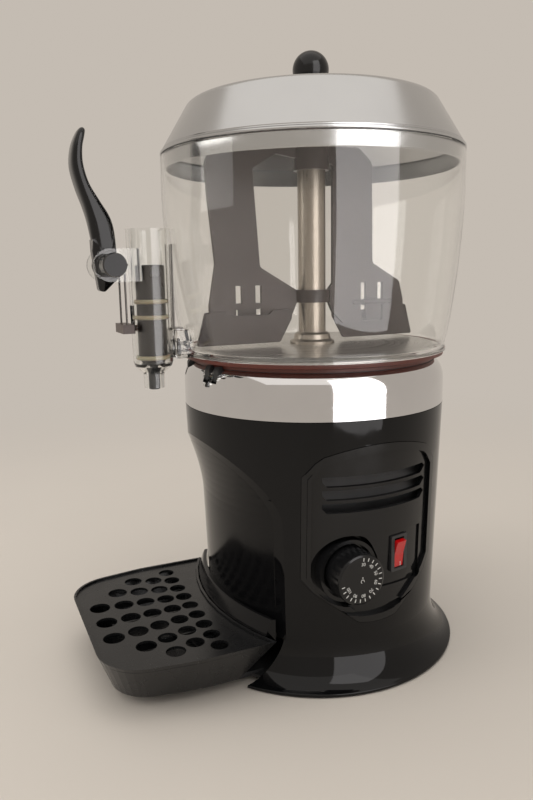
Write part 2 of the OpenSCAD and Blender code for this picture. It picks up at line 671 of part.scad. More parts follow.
module tap_retainer() color("#b9bcbe") {
    translate([-3, -retainer_y, block_top_z + eps]) cube([6, 0.8, retainer_z - block_top_z]);
    translate([-6, -retainer_y, block_top_z + eps]) cube([12, 7, 1.6]);
}
module lever_pin() color("#8d8f92") {
    rod_x(pin_r, -ears_w / 2 - gap, ears_w / 2 + 8, pivot_y, pivot_z);
    rod_x(9.5, -ears_w / 2 - 3, -ears_w / 2 - eps, pivot_y, pivot_z);
}
knob_len = 22;
knurl_count = 24;
module pin_knob() color("#151515") difference() {
    translate([ears_w / 2 + eps, pivot_y, pivot_z]) rotate([90, 0, 90]) {
        linear_extrude(knob_len - 4) polygon([for (i = [0:2 * knurl_count - 1])
            (9.2 + 0.5 * (i % 2)) * [cos(i * 180 / knurl_count), sin(i * 180 / knurl_count)]]);
        translate([0, 0, knob_len - 4 - eps]) rotate_extrude($fn = 48)
            polygon([[0, 0], [10, 0], [10.2, 1.5], [9.4, 4], [0, 4]]);
        // Pointer nub
        translate([9.5, 0, knob_len - 3]) sphere(r = 1.4, $fn = 16);
    }
    rod_x(pin_r, ears_w / 2 - 1, ears_w / 2 + 8, pivot_y, pivot_z);
}

// Lever outline relative to the pivot, as [out from the machine, up, corner radius]
grip_line = [[9.5, 37, 2], [20.5, 60, 60], [26.5, 84, 26], [17.5, 111.5, 2.5], [10.5, 112.5, 2.5],
    [16.8, 84, 34], [9.5, 60, 30], [-5.5, 44, 12], [-8, 17, 3]];
web_line = [[12, 38, 2], [11.5, 12, 4], [7, -25.5, 3], [-9.5, -10, 8], [-7.5, 14, 4], [-7, 38, 3]];
crank = [-13, -7];
crank_angle = atan2(crank[1], -crank[0]);
function at_pivot(line) = [for (p = line) [pivot_y - p[0], pivot_z + p[1], p[2]]];
wire_r = 0.9;
wire_x = inner_half - 2;
web_half = wire_x - 3;
hook_len = 5.5;
module tap_lever() color("#17181a") difference() {
    union() {
        plate_yz(-grip_w / 2, grip_w / 2) polygon(rounded(at_pivot(grip_line), 10));
        plate_yz(-web_half, web_half) polygon(rounded(at_pivot(web_line), 6));
        // Hub between the ears
        rod_x(9.5, -inner_half + gap, inner_half - gap, pivot_y, pivot_z);
    }
    rod_x(pin_r + run, -30, 30, pivot_y, pivot_z);
    // Slot for the wires' hooks, which points at the pivot
    translate([0, pivot_y, pivot_z]) rotate([crank_angle, 0, 0]) translate([0, norm(crank), 0]) {
        for (d = [-2.2, 0.5]) rod_x(wire_r + 0.45, -wire_x, wire_x, d, 0);
        translate([-wire_x, -2.2, -wire_r - 0.45]) cube([2 * wire_x, 2.7, 2 * wire_r + 0.9]);
    }
    // The clearance of the wires beside the web
    for (s = [-1, 1]) translate([s * wire_x - 1.6, pivot_y + 9.4, pivot_z - 30]) cube([3.2, 10, 40]);
}
plunger_low_z = tap_floor_z + 2;
plunger_top_z = 378;
seal_r = (tap_bore_r - plunger_r + 1.2) / 2;
seal_z = [plunger_low_z + 3, 332, 346];
module plunger_grooves() {
    for (z = seal_z) rotate_extrude() translate([tap_bore_r - run - seal_r, z]) circle(r = seal_r, $fn = 24);
}
module tap_plunger() color("#2c2522") on_tap() difference() {
    rotate_extrude() polygon([[0, plunger_low_z], [plunger_r - 2, plunger_low_z], [plunger_r, plunger_low_z + 1.5],
        [plunger_r, plunger_top_z - 1], [plunger_r - 1, plunger_top_z], [plunger_r - 3, plunger_top_z],
        [plunger_r - 3, plunger_top_z - 30], [0, plunger_top_z - 30]]);
    plunger_grooves();
}
module plunger_seals() color("#cbbd96") on_tap() plunger_grooves();
module valve_tip() color("#111111") on_tap() rotate_extrude() polygon([
    [0, nozzle_z - 1.5], [4.2, nozzle_z - 1.5], [5, nozzle_z - 0.5], [5, nozzle_z + 12],
    [nozzle_bore_r - 1, tap_floor_z - funnel_h + 1], [11, plunger_low_z], [0, plunger_low_z]]);
bar_y = tap_y + tap_low_r + 1.6;
bar_d = 10;
bar_z = 319;
bar_h = 8;
bar_half = ears_w / 2 - 1;
module cross_bar() color("#5a4038") difference() {
    union() {
        translate([-bar_half, -bar_y - bar_d, bar_z]) cube([2 * bar_half, bar_d, bar_h]);
        rod_y(2.6, -bar_y - eps, -tap_y - plunger_r, 0, bar_z + bar_h / 2);
    }
    on_tap() cylinder(r = plunger_r, h = 400);
    for (s = [-1, 1]) translate([s * wire_x, pivot_y - crank[0], bar_z + 2]) cylinder(r = wire_r, h = 20);
}
module link_wires() color("#77797c") for (s = [-1, 1]) {
    top = pivot_z + crank[1];
    translate([s * wire_x, pivot_y - crank[0], bar_z + 2]) cylinder(r = wire_r, h = top - bar_z - 2, $fn = 24);
    translate([s * wire_x, pivot_y - crank[0], top]) sphere(r = wire_r, $fn = 24);
    rod_x(wire_r, s > 0 ? wire_x - hook_len : -wire_x, s > 0 ? wire_x : hook_len - wire_x, pivot_y - crank[0], top,
        $fn = 24);
}

// --- Lid -----------------------------------------------------------------------------------

// Line of the flank, the shoulder and the dome, moved in by a distance
function dome_line(inset) = concat(
    [[lid_r - inset / sin(flank_a), lid_z + 3]],
    arc(shoulder_c, lid_fillet_r - inset, 90 - flank_a, 90 - lid_dome_a, 6),
    [for (i = [5:-1:0]) let (t = lid_dome_a * i / 6)
        [(dome_r - inset) * sin(t), lid_crown_z - dome_r + (dome_r - inset) * cos(t)]]);
lid_skirt_h = 13;
lid_skirt_r = bowl_rim_r - bowl_wall - gap - 0.5;
module lid() color("#c9cacb") difference() {
    union() {
        turned(
            concat([[lid_r - 3, lid_z], [lid_r, lid_z], [lid_r + 0.9, lid_z + 1.2], [lid_r + 0.6, lid_z + 2.8]],
                   dome_line(0)),
            concat([[lid_r - 3, lid_z + 2]], dome_line(lid_wall)));
        // Skirt that drops into the bowl
        turned([[lid_r - 2, lid_z], [lid_skirt_r, lid_z], [lid_skirt_r, lid_z - lid_skirt_h + 1],
                [lid_skirt_r - 0.8, lid_z - lid_skirt_h]],
               [[lid_r - 2, lid_z + 2], [lid_skirt_r - 1.6, lid_z + 2], [lid_skirt_r - 1.6, lid_z - lid_skirt_h]]);
    }
    translate([0, 0, lid_z]) cylinder(r = 3 + run, h = 100);
}
knob_c = lid_crown_z + knob_r + 0.65;
module lid_knob() color("#111111") difference() {
    union() {
        translate([0, 0, knob_c]) sphere(r = knob_r);
        // Neck that stands on the lid
        translate([0, 0, lid_crown_z + 0.02]) cylinder(r = 8, h = knob_r / 2);
    }
    translate([0, 0, lid_crown_z - 1]) cylinder(r = 3, h = 13);
}
module knob_screw() color("#a5a5a5") {
    translate([0, 0, lid_crown_z - lid_wall - 3]) cylinder(r = 3, h = 14);
    translate([0, 0, lid_crown_z - lid_wall - 4.65]) cylinder(r = 7, h = 4.4);
}

// --- Drip tray --------------------------------------------------------------------------------

// Plan outline of the tray at a height, as a share up its wall, drawn in by an inset
tray_rear_n = 8;
function tray_ring(s, inset, z) =
    let (hw = tray_half_w - 20.5 * (1 - s) - inset,
         front = tray_front - 14.5 * (1 - s) - inset,
         rear_r = band_bow_r + 0.5 + 18 * (1 - s) + inset,
         rear_half = asin(hw / rear_r),
         rear = arc([0, band_c], rear_r, -90 - rear_half, -90 + rear_half, tray_rear_n),
         edge_y = rear[tray_rear_n][1],
         side = [[hw, edge_y - 70 + 26 * (1 - s), 90], [hw - 10.5, -front, 42 - inset - 6 * (1 - s)]],
         line = concat([for (i = [0:tray_rear_n]) [rear[i][0], rear[i][1], 0]], side,
                       [for (i = [1:-1:0]) [-side[i][0], side[i][1], side[i][2]]]),
         ring = rounded(line, 8))
    lift([for (i = [len(ring) - 1:-1:0]) ring[i]], z);
function tray_share(z) = (z - tray_low_z) / (tray_top_z - tray_low_z);
grid_t = 2.5;
grid_z = tray_top_z - 4.5;
module drip_tray() color("#1a1a1c") difference() {
    loft([tray_ring(0, 1.5, tray_low_z), tray_ring(0.03, 0, tray_low_z + 1.5), tray_ring(1, 0, tray_top_z)]);
    // The hollow, with a ledge that carries the grid
    loft([tray_ring(tray_share(tray_low_z + tray_wall), tray_wall + 1, tray_low_z + tray_wall),
          tray_ring(tray_share(grid_z), tray_wall + 1.6, grid_z), tray_ring(1, tray_wall, grid_z + 0.01),
          tray_ring(1, tray_wall, tray_top_z + 1)]);
}
// Rows of holes, as [distance from the axis, pitch, count, radius]
grid_rows = [[219, 32, 3, 0], [196, 29, 5, 0.4], [175, 26, 7, 0.9], [155, 23.5, 7, 1.3], [137, 21, 9, 1.8]];
module drip_grid() color("#1a1a1c") difference() {
    union() {
        translate([0, 0, grid_z + 0.03]) linear_extrude(grid_t)
            polygon([for (p = tray_ring(1, tray_wall + gap, 0)) [p[0], p[1]]]);
        // Ribs underneath
        for (x = [-45, 0, 45]) translate([x - 1, -214, grid_z - 8]) cube([2, 84, 8.1]);
    }
    for (row = grid_rows) for (i = [0:row[2] - 1])
        translate([(i - (row[2] - 1) / 2) * row[1], -row[0], grid_z - 1])
            cylinder(r = grid_hole_r - row[3], h = grid_t + 2, $fn = 40);
}

// --- Control panel -------------------------------------------------------------------------------

panel_mid_y = 3;
panel_half_w = 70;
// Outline of the panel in the plane of Y and Z, drawn in by an inset
module panel_outline(inset = 0) {
    intersection() {
        translate([panel_mid_y - panel_half_w + inset, 40]) square([2 * (panel_half_w - inset), 200]);
        translate([panel_mid_y, panel_top_z - panel_top_r]) circle(r = panel_top_r - inset, $fn = 240);
        translate([panel_mid_y, panel_low_z + panel_low_r]) circle(r = panel_low_r - inset, $fn = 180);
        // Corners taken off
        translate([panel_mid_y, 150]) rotate([0, 0, 38]) square(2 * (panel_diag - inset), center = true);
        translate([panel_mid_y, 150]) rotate([0, 0, -38]) square(2 * (panel_diag - inset), center = true);
    }
}
panel_top_z = 224;
panel_top_r = 160;
panel_low_z = 57;
panel_low_r = 95;
panel_diag = 84;
bead_inset = 4.5;
bead_w = 3;
face_drop = 2;
skin_depth = 6.2;
module panel_plate(inset) {
    plate_yz(80, 150) panel_outline(inset);
}
// The inside of the shell's cone, drawn in by a drop, with its seam at the back
module panel_cone(drop) {
    translate([0, 0, seam_z]) rotate([0, 0, 180])
        cylinder(r1 = body_low_r - drop, r2 = body_top_r - drop, h = body_top_z - seam_z, $fn = 180);
}
vent_rows = [192, 180, 168];
shelf_line = [[dial_y, 90], [54, 87], [54, 137.5], [5, 142.5], [dial_y, 141]];
// Crescent between two arcs, below the dial
module crescent() {
    difference() {
        translate([-3, crescent_z + 110]) circle(r = 110, $fn = 180);
        translate([-3, crescent_z + 205.6]) circle(r = 200, $fn = 240);
        translate([-200, crescent_z + 16]) square([400, 400]);
    }
}
crescent_z = 64.5;
// The well round the dial, which runs out into the shelf beside the switch
module well(grow = 0) {
    translate([dial_y, dial_z]) union() {
        circle(r = bezel_r + 0.7 + grow, $fn = 180);
        intersection() {
            circle(r = well_r + grow, $fn = 180);
            translate([-12, 0]) circle(r = well_r + 7 + grow, $fn = 180);
        }
    }
}
module control_panel() color("#141415") difference() {
    intersection() {
        panel_plate(gap);
        panel_cone(-1);
    }
    // Inside of the skin, with the cup of the dial's well left standing
    difference() {
        panel_cone(skin_depth);
        plate_yz(floor_x - 2.5, 150) well(2);
    }
    // Rim round the bead, and the sunk face
    difference() {
        plate_yz(80, 151) square([200, 400], center = true);
        plate_yz(70, 160) panel_outline(bead_inset);
        panel_cone(0);
    }
    difference() {
        panel_plate(bead_inset + bead_w);
        panel_cone(face_drop);
    }
    plate_yz(floor_x, 150) well();
    // Shallow shelf with the switch
    difference() {
        plate_yz(80, 150) polygon(shelf_line);
        panel_cone(face_drop + 1.6);
    }
    // Louvre slots with pointed ends
    for (z = vent_rows) plate_yz(80, 150) polygon([[-50, z + 4.5], [54, z + 4.5], [58, z + 1],
        [52, z - 4.5], [-46, z - 4.5], [-50, z]]);
    // Crescent below the dial
    difference() {
        plate_yz(80, 150) crescent();
        panel_cone(face_drop + 1.4);
    }
    // Holes for the dial's shaft and the switch
    rod_x(dial_shaft_r + 1, 90, 150, dial_y, dial_z);
    on_shelf() {
        translate([90, -switch_in_w / 2, switch_z - switch_in_h / 2]) cube([60, switch_in_w, switch_in_h]);
        translate([switch_d - 0.5 - eps, -10 - gap, switch_z - 17 - gap]) cube([20, 20 + 2 * gap, 34 + 2 * gap]);
    }
}
bezel_r = 28.5;
dial_shaft_r = 3;
module dial_bezel() color("#242426") difference() {
    rod_x(bezel_r, floor_x + eps, floor_x + 12, dial_y, dial_z);
    rod_x(dial_r + 2.2, floor_x - 1, floor_x + 15, dial_y, dial_z);
}
module thermostat() color("#8b8b86") {
    rod_x(19, floor_x - 32, floor_x - 10, dial_y, dial_z);
    difference() {
        rod_x(8, floor_x - 10 - eps, floor_x - 2.5 - eps, dial_y, dial_z);
        rod_x(dial_shaft_r + run, floor_x - 8, floor_x, dial_y, dial_z);
    }
}
grip_count = 30;
module thermostat_dial() color("#1c1c1e") {
    difference() {
        union() {
            translate([floor_x + 1, dial_y, dial_z]) rotate([90, 0, 90]) {
                linear_extrude(dial_h - 3) polygon([for (i = [0:2 * grip_count - 1])
                    (dial_r - 0.5 * (i % 2)) * [cos(i * 180 / grip_count), sin(i * 180 / grip_count)]]);
                translate([0, 0, dial_h - 3 - eps]) rotate_extrude()
                    polygon([[0, 0], [dial_r - 0.3, 0], [dial_r - 0.6, 1], [dial_r - 2, 2], [0, 2]]);
                cylinder(r = dial_r + 1.2, h = 3);
            }
        }
        rod_x(dial_r - 3, floor_x, floor_x + 6, dial_y, dial_z);
    }
    rod_x(dial_shaft_r, floor_x - 7.9, floor_x + 8, dial_y, dial_z);
}
switch_in_w = 15;
switch_in_h = 29;
rocker_half_w = 5.6;
rocker_half_h = 13.4;
rocker_tilt = 10;
// The switch stands on the shelf, square to the shell
switch_a = asin(switch_y / shell_r(switch_z));
switch_d = shell_r(switch_z) - face_drop - 1.6;
rocker_end_gap = 1;
module on_shelf() {
    rotate([0, 0, switch_a]) children();
}
module switch_housing() color("#161617") on_shelf() difference() {
    union() {
        // Frame on the shelf, then the body behind it
        plate_yz(switch_d - 0.5, switch_d + 2.2) polygon(rounded([
            [-10, switch_z - 17, 1.5], [10, switch_z - 17, 1.5],
            [10, switch_z + 17, 1.5], [-10, switch_z + 17, 1.5]], 4));
        translate([switch_d - 16, -switch_in_w / 2 + gap, switch_z - switch_in_h / 2 + gap])
            cube([16, switch_in_w - 2 * gap, switch_in_h - 2 * gap]);
    }
    translate([switch_d - 9, -rocker_half_w - gap, switch_z - rocker_half_h - rocker_end_gap])
        cube([20, 2 * (rocker_half_w + gap), 2 * (rocker_half_h + rocker_end_gap)]);
    rod_y(1.5 + run, -rocker_half_w - 2, rocker_half_w + 2, switch_d - 3, switch_z);
}
module switch_rocker() color("#c01818") on_shelf() {
    translate([switch_d - 3, 0, switch_z]) rotate([0, rocker_tilt, 0]) rotate([90, 0, 0])
        linear_extrude(2 * rocker_half_w, center = true)
            polygon([[-2.5, -8], [2, -rocker_half_h + 0.8], [6.4, -rocker_half_h + 0.8], [5.2, 0],
                     [6.4, rocker_half_h - 0.8], [2, rocker_half_h - 0.8], [-2.5, 8]]);
    rod_y(1.5, -rocker_half_w - 1.7, rocker_half_w + 1.7, switch_d - 3, switch_z);
}
gland_z = 66;
gland_bore_r = 3.7;
gland_neck_r = 7.5;
module cable_gland() color("#151515") difference() {
    union() {
        rod_y(gland_neck_r, 108, 124, 0, gland_z);
        rod_y(11, 122.4, 128, 0, gland_z);
        rod_y(11, 113, 117.6, 0, gland_z);
        translate([0, 128 - eps, gland_z]) rotate([-90, 0, 0]) cylinder(r1 = 8.5, r2 = 6.5, h = 8);
    }
    rod_y(gland_bore_r, 100, 140, 0, gland_z);
}

base_plate();
rubber_feet();
foot_skirt();
body_shell();
recess_panel();
chrome_ring();
bowl_lugs();
control_panel();
dial_bezel();
thermostat();
switch_housing();
cable_gland();
top_carrier();
bowl_seal();
heating_dish();
heater_element();
column();
column_bushes();
motor_bracket();
gear_motor();
base_screws();
thermostat_dial();
switch_rocker();
drive_shaft();
stirrer();
stirrer_collar();
scraper_pins();
scraper_front();
scraper_rear();
bowl();
tap_body();
tap_inlet_seal();
tap_retainer();
lever_pin();
pin_knob();
tap_lever();
tap_plunger();
plunger_seals();
valve_tip();
cross_bar();
link_wires();
lid();
lid_knob();
knob_screw();
drip_tray();
drip_grid();
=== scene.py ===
"""Looks for a hot chocolate dispenser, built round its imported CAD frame.

The frame gives every place and size. Each sub-assembly below is a class that makes the
pieces whose curves or small details the frame leaves plain, and dresses them and the
frame's own nodes in their finishes.
"""

import json
import logging
import math
from dataclasses import dataclass
from enum import Enum
from typing import Callable, Iterable, Sequence

import bmesh
import bpy
from mathutils import Matrix, Vector

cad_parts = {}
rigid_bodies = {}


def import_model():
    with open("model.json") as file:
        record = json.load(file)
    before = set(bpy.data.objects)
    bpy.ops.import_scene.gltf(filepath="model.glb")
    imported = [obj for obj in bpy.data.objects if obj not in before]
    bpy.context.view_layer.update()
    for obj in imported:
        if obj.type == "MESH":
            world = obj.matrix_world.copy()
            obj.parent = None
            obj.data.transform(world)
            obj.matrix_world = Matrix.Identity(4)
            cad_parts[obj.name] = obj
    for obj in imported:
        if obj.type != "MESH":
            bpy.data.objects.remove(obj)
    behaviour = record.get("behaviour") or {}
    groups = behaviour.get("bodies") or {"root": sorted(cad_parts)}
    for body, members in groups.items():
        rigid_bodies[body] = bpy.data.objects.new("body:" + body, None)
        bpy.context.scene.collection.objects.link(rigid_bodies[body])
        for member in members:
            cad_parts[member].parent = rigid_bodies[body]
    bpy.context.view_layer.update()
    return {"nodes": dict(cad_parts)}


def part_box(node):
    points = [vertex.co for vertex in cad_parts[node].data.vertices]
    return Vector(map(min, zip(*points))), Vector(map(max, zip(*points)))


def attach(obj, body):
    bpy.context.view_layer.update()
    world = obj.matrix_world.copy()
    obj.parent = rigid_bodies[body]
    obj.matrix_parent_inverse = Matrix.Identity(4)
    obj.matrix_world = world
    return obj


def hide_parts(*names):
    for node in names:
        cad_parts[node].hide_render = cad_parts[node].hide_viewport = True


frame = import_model()
LOG = logging.getLogger("dispenser")
MM = 0.001

Point = tuple[float, float]
Colour = tuple[float, float, float]


# --- Finishes ---------------------------------------------------------------------------


class Graph:
    """A material's node tree, with short calls for the nodes that the finishes share."""

    def __init__(self, name: str) -> None:
        """Starts a material with one Principled shader.

        Args:
            name: The material's name.
        """
        self.material = bpy.data.materials.new(name)
        self.material.use_nodes = True
        self.tree = self.material.node_tree
        self.tree.nodes.clear()
        self.output = self.node("ShaderNodeOutputMaterial")
        self.shader = self.node("ShaderNodeBsdfPrincipled")
        self.link(self.shader.outputs[0], self.output.inputs["Surface"])

    def node(self, kind: str, **settings: object) -> bpy.types.Node:
        """Adds a node.

        Args:
            kind: The node's type.
            settings: Its properties, by name.

        Returns:
            The new node.
        """
        made = self.tree.nodes.new(kind)
        for key, value in settings.items():
            setattr(made, key, value)
        return made

    def link(self, source: bpy.types.NodeSocket, target: bpy.types.NodeSocket) -> None:
        """Joins two sockets."""
        self.tree.links.new(source, target)

    def place(self, stretch: Sequence[float] = (1, 1, 1)) -> bpy.types.NodeSocket:
        """Gives the point on the piece, in metres.

        Args:
            stretch: How much each axis is scaled.

        Returns:
            The vector's socket.
        """
        where = self.node("ShaderNodeTexCoord")
        mapping = self.node("ShaderNodeMapping")
        mapping.inputs["Scale"].default_value = stretch
        self.link(where.outputs["Object"], mapping.inputs["Vector"])
        return mapping.outputs[0]

    def noise(self, vector: bpy.types.NodeSocket, scale: float, detail: float = 3.0) -> bpy.types.NodeSocket:
        """Adds a noise pattern.

        Args:
            vector: Where it is read.
            scale: Cells for each metre.
            detail: Octaves.

        Returns:
            Its value, from 0 to 1.
        """
        made = self.node("ShaderNodeTexNoise")
        made.inputs["Scale"].default_value = scale
        made.inputs["Detail"].default_value = detail
        self.link(vector, made.inputs["Vector"])
        return made.outputs["Fac"]

    def span(self, value: bpy.types.NodeSocket, low: float, high: float,
             start: float = 0.3, end: float = 0.7) -> bpy.types.NodeSocket:
        """Spreads a noise value over a range.

        Args:
            value: The value to spread.
            low: What start becomes.
            high: What end becomes.
            start: The lowest value that counts.
            end: The highest value that counts.

        Returns:
            The new value's socket.
        """
        made = self.node("ShaderNodeMapRange")
        for key, number in (("From Min", start), ("From Max", end), ("To Min", low), ("To Max", high)):
            made.inputs[key].default_value = number
        self.link(value, made.inputs["Value"])
        return made.outputs[0]

    def tint(self, value: bpy.types.NodeSocket, low: Colour, high: Colour) -> bpy.types.NodeSocket:
        """Mixes two colours by a value.

        Args:
            value: The share of the second colour.
            low: The colour at 0.
            high: The colour at 1.

        Returns:
            The mixed colour's socket.
        """
        made = self.node("ShaderNodeMix", data_type="RGBA")
        made.inputs[6].default_value = (*low, 1)
        made.inputs[7].default_value = (*high, 1)
        self.link(value, made.inputs[0])
        return made.outputs[2]

    def math(self, kind: str, a: bpy.types.NodeSocket,
             b: bpy.types.NodeSocket | float = 0.0) -> bpy.types.NodeSocket:
        """Adds a sum on one or two values.

        Args:
            kind: The operation.
            a: The first value.
            b: The second value, or its socket.

        Returns:
            The result's socket.
        """
        made = self.node("ShaderNodeMath", operation=kind)
        self.link(a, made.inputs[0])
        if isinstance(b, float):
            made.inputs[1].default_value = b
        else:
            self.link(b, made.inputs[1])
        return made.outputs[0]

    def relief(self, height: bpy.types.NodeSocket, depth: float, strength: float = 1.0) -> None:
        """Raises the surface by a height pattern.

        Args:
            height: The pattern, from 0 to 1.
            depth: What 1 stands for, in metres.
            strength: The share of it that shows.
        """
        made = self.node("ShaderNodeBump")
        made.inputs["Distance"].default_value = depth
        made.inputs["Strength"].default_value = strength
        self.link(height, made.inputs["Height"])
        before = self.shader.inputs["Normal"]
        if before.is_linked:
            self.link(before.links[0].from_socket, made.inputs["Normal"])
        self.link(made.outputs[0], before)

    def distance_from_axis(self) -> bpy.types.NodeSocket:
        """Gives the point's distance from the machine's vertical axis."""
        parts = self.node("ShaderNodeSeparateXYZ")
        self.link(self.place(), parts.inputs[0])
        squares = [self.math("POWER", parts.outputs[axis], 2.0) for axis in (0, 1)]
        return self.math("SQRT", self.math("ADD", *squares))

    def height(self) -> bpy.types.NodeSocket:
        """Gives the point's height above the table."""
        parts = self.node("ShaderNodeSeparateXYZ")
        self.link(self.place(), parts.inputs[0])
        return parts.outputs[2]


@dataclass(frozen=True)
class Moulding:
    """An opaque moulded plastic or rubber."""

    name: str
    colour: Colour
    shine: tuple[float, float] = (0.3, 0.4)
    grain: float = 900.0
    grain_depth: float = 0.00003
    ripple_depth: float = 0.0
    mottle: float = 1.18
    coat: float = 0.0
    softness: float = 0.0
    specular: float = 0.5

    def material(self) -> bpy.types.Material:
        """Makes the material.

        Returns:
            The new material.
        """
        graph = Graph(self.name)
        at = graph.place()
        shader = graph.shader
        broad = graph.noise(at, 22.0, 4.0)
        deep = tuple(min(1.0, c * self.mottle) for c in self.colour)
        graph.link(graph.tint(graph.span(broad, 0, 1), self.colour, deep), shader.inputs["Base Color"])
        smudge = graph.noise(graph.place((1, 1, 0.6)), 60.0, 5.0)
        graph.link(graph.span(smudge, *self.shine), shader.inputs["Roughness"])
        if self.ripple_depth:
            graph.relief(graph.noise(at, 26.0, 1.0), self.ripple_depth)
        graph.relief(graph.noise(at, self.grain, 2.0), self.grain_depth)
        shader.inputs["Specular IOR Level"].default_value = self.specular
        shader.inputs["Coat Weight"].default_value = self.coat
        shader.inputs["Coat Roughness"].default_value = 0.06
        if self.softness:
            shader.inputs["Subsurface Weight"].default_value = self.softness
            shader.inputs["Subsurface Radius"].default_value = (0.004, 0.0015, 0.001)
        return graph.material


class Lay(Enum):
    """Which way the fine lines in a metal run."""

    ROUND = "round the vertical axis"
    UPRIGHT = "along the vertical axis"
    PLAIN = "no lines, as plated or rolled"


@dataclass(frozen=True)
class Metal:
    """A metal with fine lines or a bright plate."""

    name: str
    colour: Colour
    shine: tuple[float, float]
    lay: Lay = Lay.PLAIN
    lines: float = 1600.0
    line_depth: float = 0.000012
    directed: float = 0.0

    def material(self) -> bpy.types.Material:
        """Makes the material.

        Returns:
            The new material.
        """
        graph = Graph(self.name)
        shader = graph.shader
        at = graph.place()
        shader.inputs["Metallic"].default_value = 1.0
        shader.inputs["Anisotropic"].default_value = self.directed
        haze = graph.noise(at, 9.0, 4.0)
        worn = tuple(c * 0.9 for c in self.colour)
        graph.link(graph.tint(graph.span(haze, 0, 1), self.colour, worn), shader.inputs["Base Color"])
        if self.lay is Lay.ROUND:
            run = graph.math("SUBTRACT", graph.distance_from_axis(), graph.height())
            lines = graph.node("ShaderNodeTexNoise", noise_dimensions="1D")
            lines.inputs["Scale"].default_value = self.lines
            lines.inputs["Detail"].default_value = 3.0
            graph.link(run, lines.inputs["W"])
            pattern = lines.outputs["Fac"]
            tangent = graph.node("ShaderNodeTangent", direction_type="RADIAL", axis="Z")
            graph.link(tangent.outputs[0], shader.inputs["Tangent"])
        elif self.lay is Lay.UPRIGHT:
            pattern = graph.noise(graph.place((1, 1, 0.02)), self.lines, 3.0)
        else:
            pattern = graph.noise(graph.place((1, 1, 1)), 130.0, 4.0)
        rough = graph.math("ADD", graph.span(pattern, 0.0, self.shine[1] - self.shine[0]),
                           graph.span(haze, self.shine[0], self.shine[0] * 1.3))
        graph.link(rough, shader.inputs["Roughness"])
        graph.relief(pattern, self.line_depth)
        return graph.material


@dataclass(frozen=True)
class ClearMoulding:
    """A clear plastic that lamps shine through."""

    name: str
    colour: Colour = (0.975, 0.975, 0.965)
    shine: tuple[float, float] = (0.015, 0.05)
    wave_depth: float = 0.00012
    index: float = 1.5

    def material(self) -> bpy.types.Material:
        """Makes the material.

        Returns:
            The new material.
        """
        graph = Graph(self.name)
        shader = graph.shader
        shader.inputs["Base Color"].default_value = (*self.colour, 1)
        shader.inputs["Transmission Weight"].default_value = 1.0
        shader.inputs["IOR"].default_value = self.index
        scuffs = graph.noise(graph.place((1, 1, 0.35)), 90.0, 6.0)
        graph.link(graph.span(scuffs, *self.shine, 0.45, 0.8), shader.inputs["Roughness"])
        graph.relief(graph.noise(graph.place((1, 1, 0.5)), 30.0, 1.0), self.wave_depth)
        open_to_lamps = graph.node("ShaderNodeBsdfTransparent")
        open_to_lamps.inputs[0].default_value = (0.9, 0.9, 0.89, 1)
        ray = graph.node("ShaderNodeLightPath")
        mix = graph.node("ShaderNodeMixShader")
        graph.link(ray.outputs["Is Shadow Ray"], mix.inputs[0])
        graph.link(shader.outputs[0], mix.inputs[1])
        graph.link(open_to_lamps.outputs[0], mix.inputs[2])
        graph.link(mix.outputs[0], graph.output.inputs["Surface"])
        return graph.material


BODY_GLOSS = Moulding("body_gloss_black", (0.0034, 0.0034, 0.0038), (0.03, 0.07), 700.0, 0.0000005,
                      0.000012, 1.3, specular=0.26)
RECESS_GLOSS = Moulding("recess_gloss_black", (0.0034, 0.0034, 0.0038), (0.12, 0.17), 700.0, 0.0000005,
                        0.0, 1.3, specular=0.24)
LEVER_GLOSS = Moulding("lever_gloss_black", (0.004, 0.004, 0.0045), (0.1, 0.18), 900.0, 0.000003,
                       0.00001, 1.3, specular=0.4)
PANEL_SATIN = Moulding("panel_satin_black", (0.0065, 0.0065, 0.007), (0.12, 0.2), 1500.0, 0.000006,
                       0.0, 1.25, specular=0.36)
TRAY_SATIN = Moulding("tray_satin_black", (0.0085, 0.0086, 0.009), (0.2, 0.32), 1300.0, 0.00001,
                      0.0, 1.3, specular=0.4)
INNER_POLYMER = Moulding("inner_dark_polymer", (0.02, 0.02, 0.021), (0.4, 0.55), 900.0, 0.00003)
BLACK_RUBBER = Moulding("black_rubber", (0.012, 0.012, 0.012), (0.6, 0.78), 1100.0, 0.00005)
# The seal's own red, darkened to a dark red-brown as painted shade for the shade it sits in below the bowl.
SHADED_RED_SEAL = Moulding("red_silicone_painted_shade", (0.10, 0.020, 0.012), (0.35, 0.5), 500.0, 0.00004, 0.0, 1.25,
                    softness=0.3)
CREAM_SEAL = Moulding("cream_silicone", (0.34, 0.29, 0.19), (0.35, 0.5), 500.0, 0.00003, 0.0, 1.1,
                      softness=0.3)
STIRRER_BROWN = Moulding("stirrer_brown_grey", (0.062, 0.046, 0.042), (0.28, 0.4), 1200.0, 0.000012,
                         0.00006, 1.2, specular=0.3)
SCRAPER_BROWN = Moulding("scraper_brown_grey", (0.052, 0.038, 0.035), (0.3, 0.42), 1200.0, 0.000012,
                         0.00005, 1.2, specular=0.3)
COLLAR_BROWN = Moulding("collar_dark_brown", (0.028, 0.016, 0.014), (0.25, 0.4), 1200.0, 0.00001)
PLUNGER_DARK = Moulding("plunger_near_black", (0.014, 0.010, 0.009), (0.25, 0.4), 1200.0, 0.00001)
BAR_BROWN = Moulding("cross_bar_brown", (0.045, 0.024, 0.018), (0.3, 0.45), 1200.0, 0.00001)
BUSH_IVORY = Moulding("bush_ivory", (0.55, 0.52, 0.42), (0.4, 0.5), 900.0, 0.00002)
ROCKER_RED = Moulding("rocker_red", (0.58, 0.004, 0.006), (0.12, 0.22), 900.0, 0.000006, 0.0, 1.1,
                      coat=0.4, softness=0.15)
MARK_WHITE = Moulding("mark_white", (0.72, 0.72, 0.70), (0.45, 0.6), 2500.0, 0.000006, 0.0, 1.0)
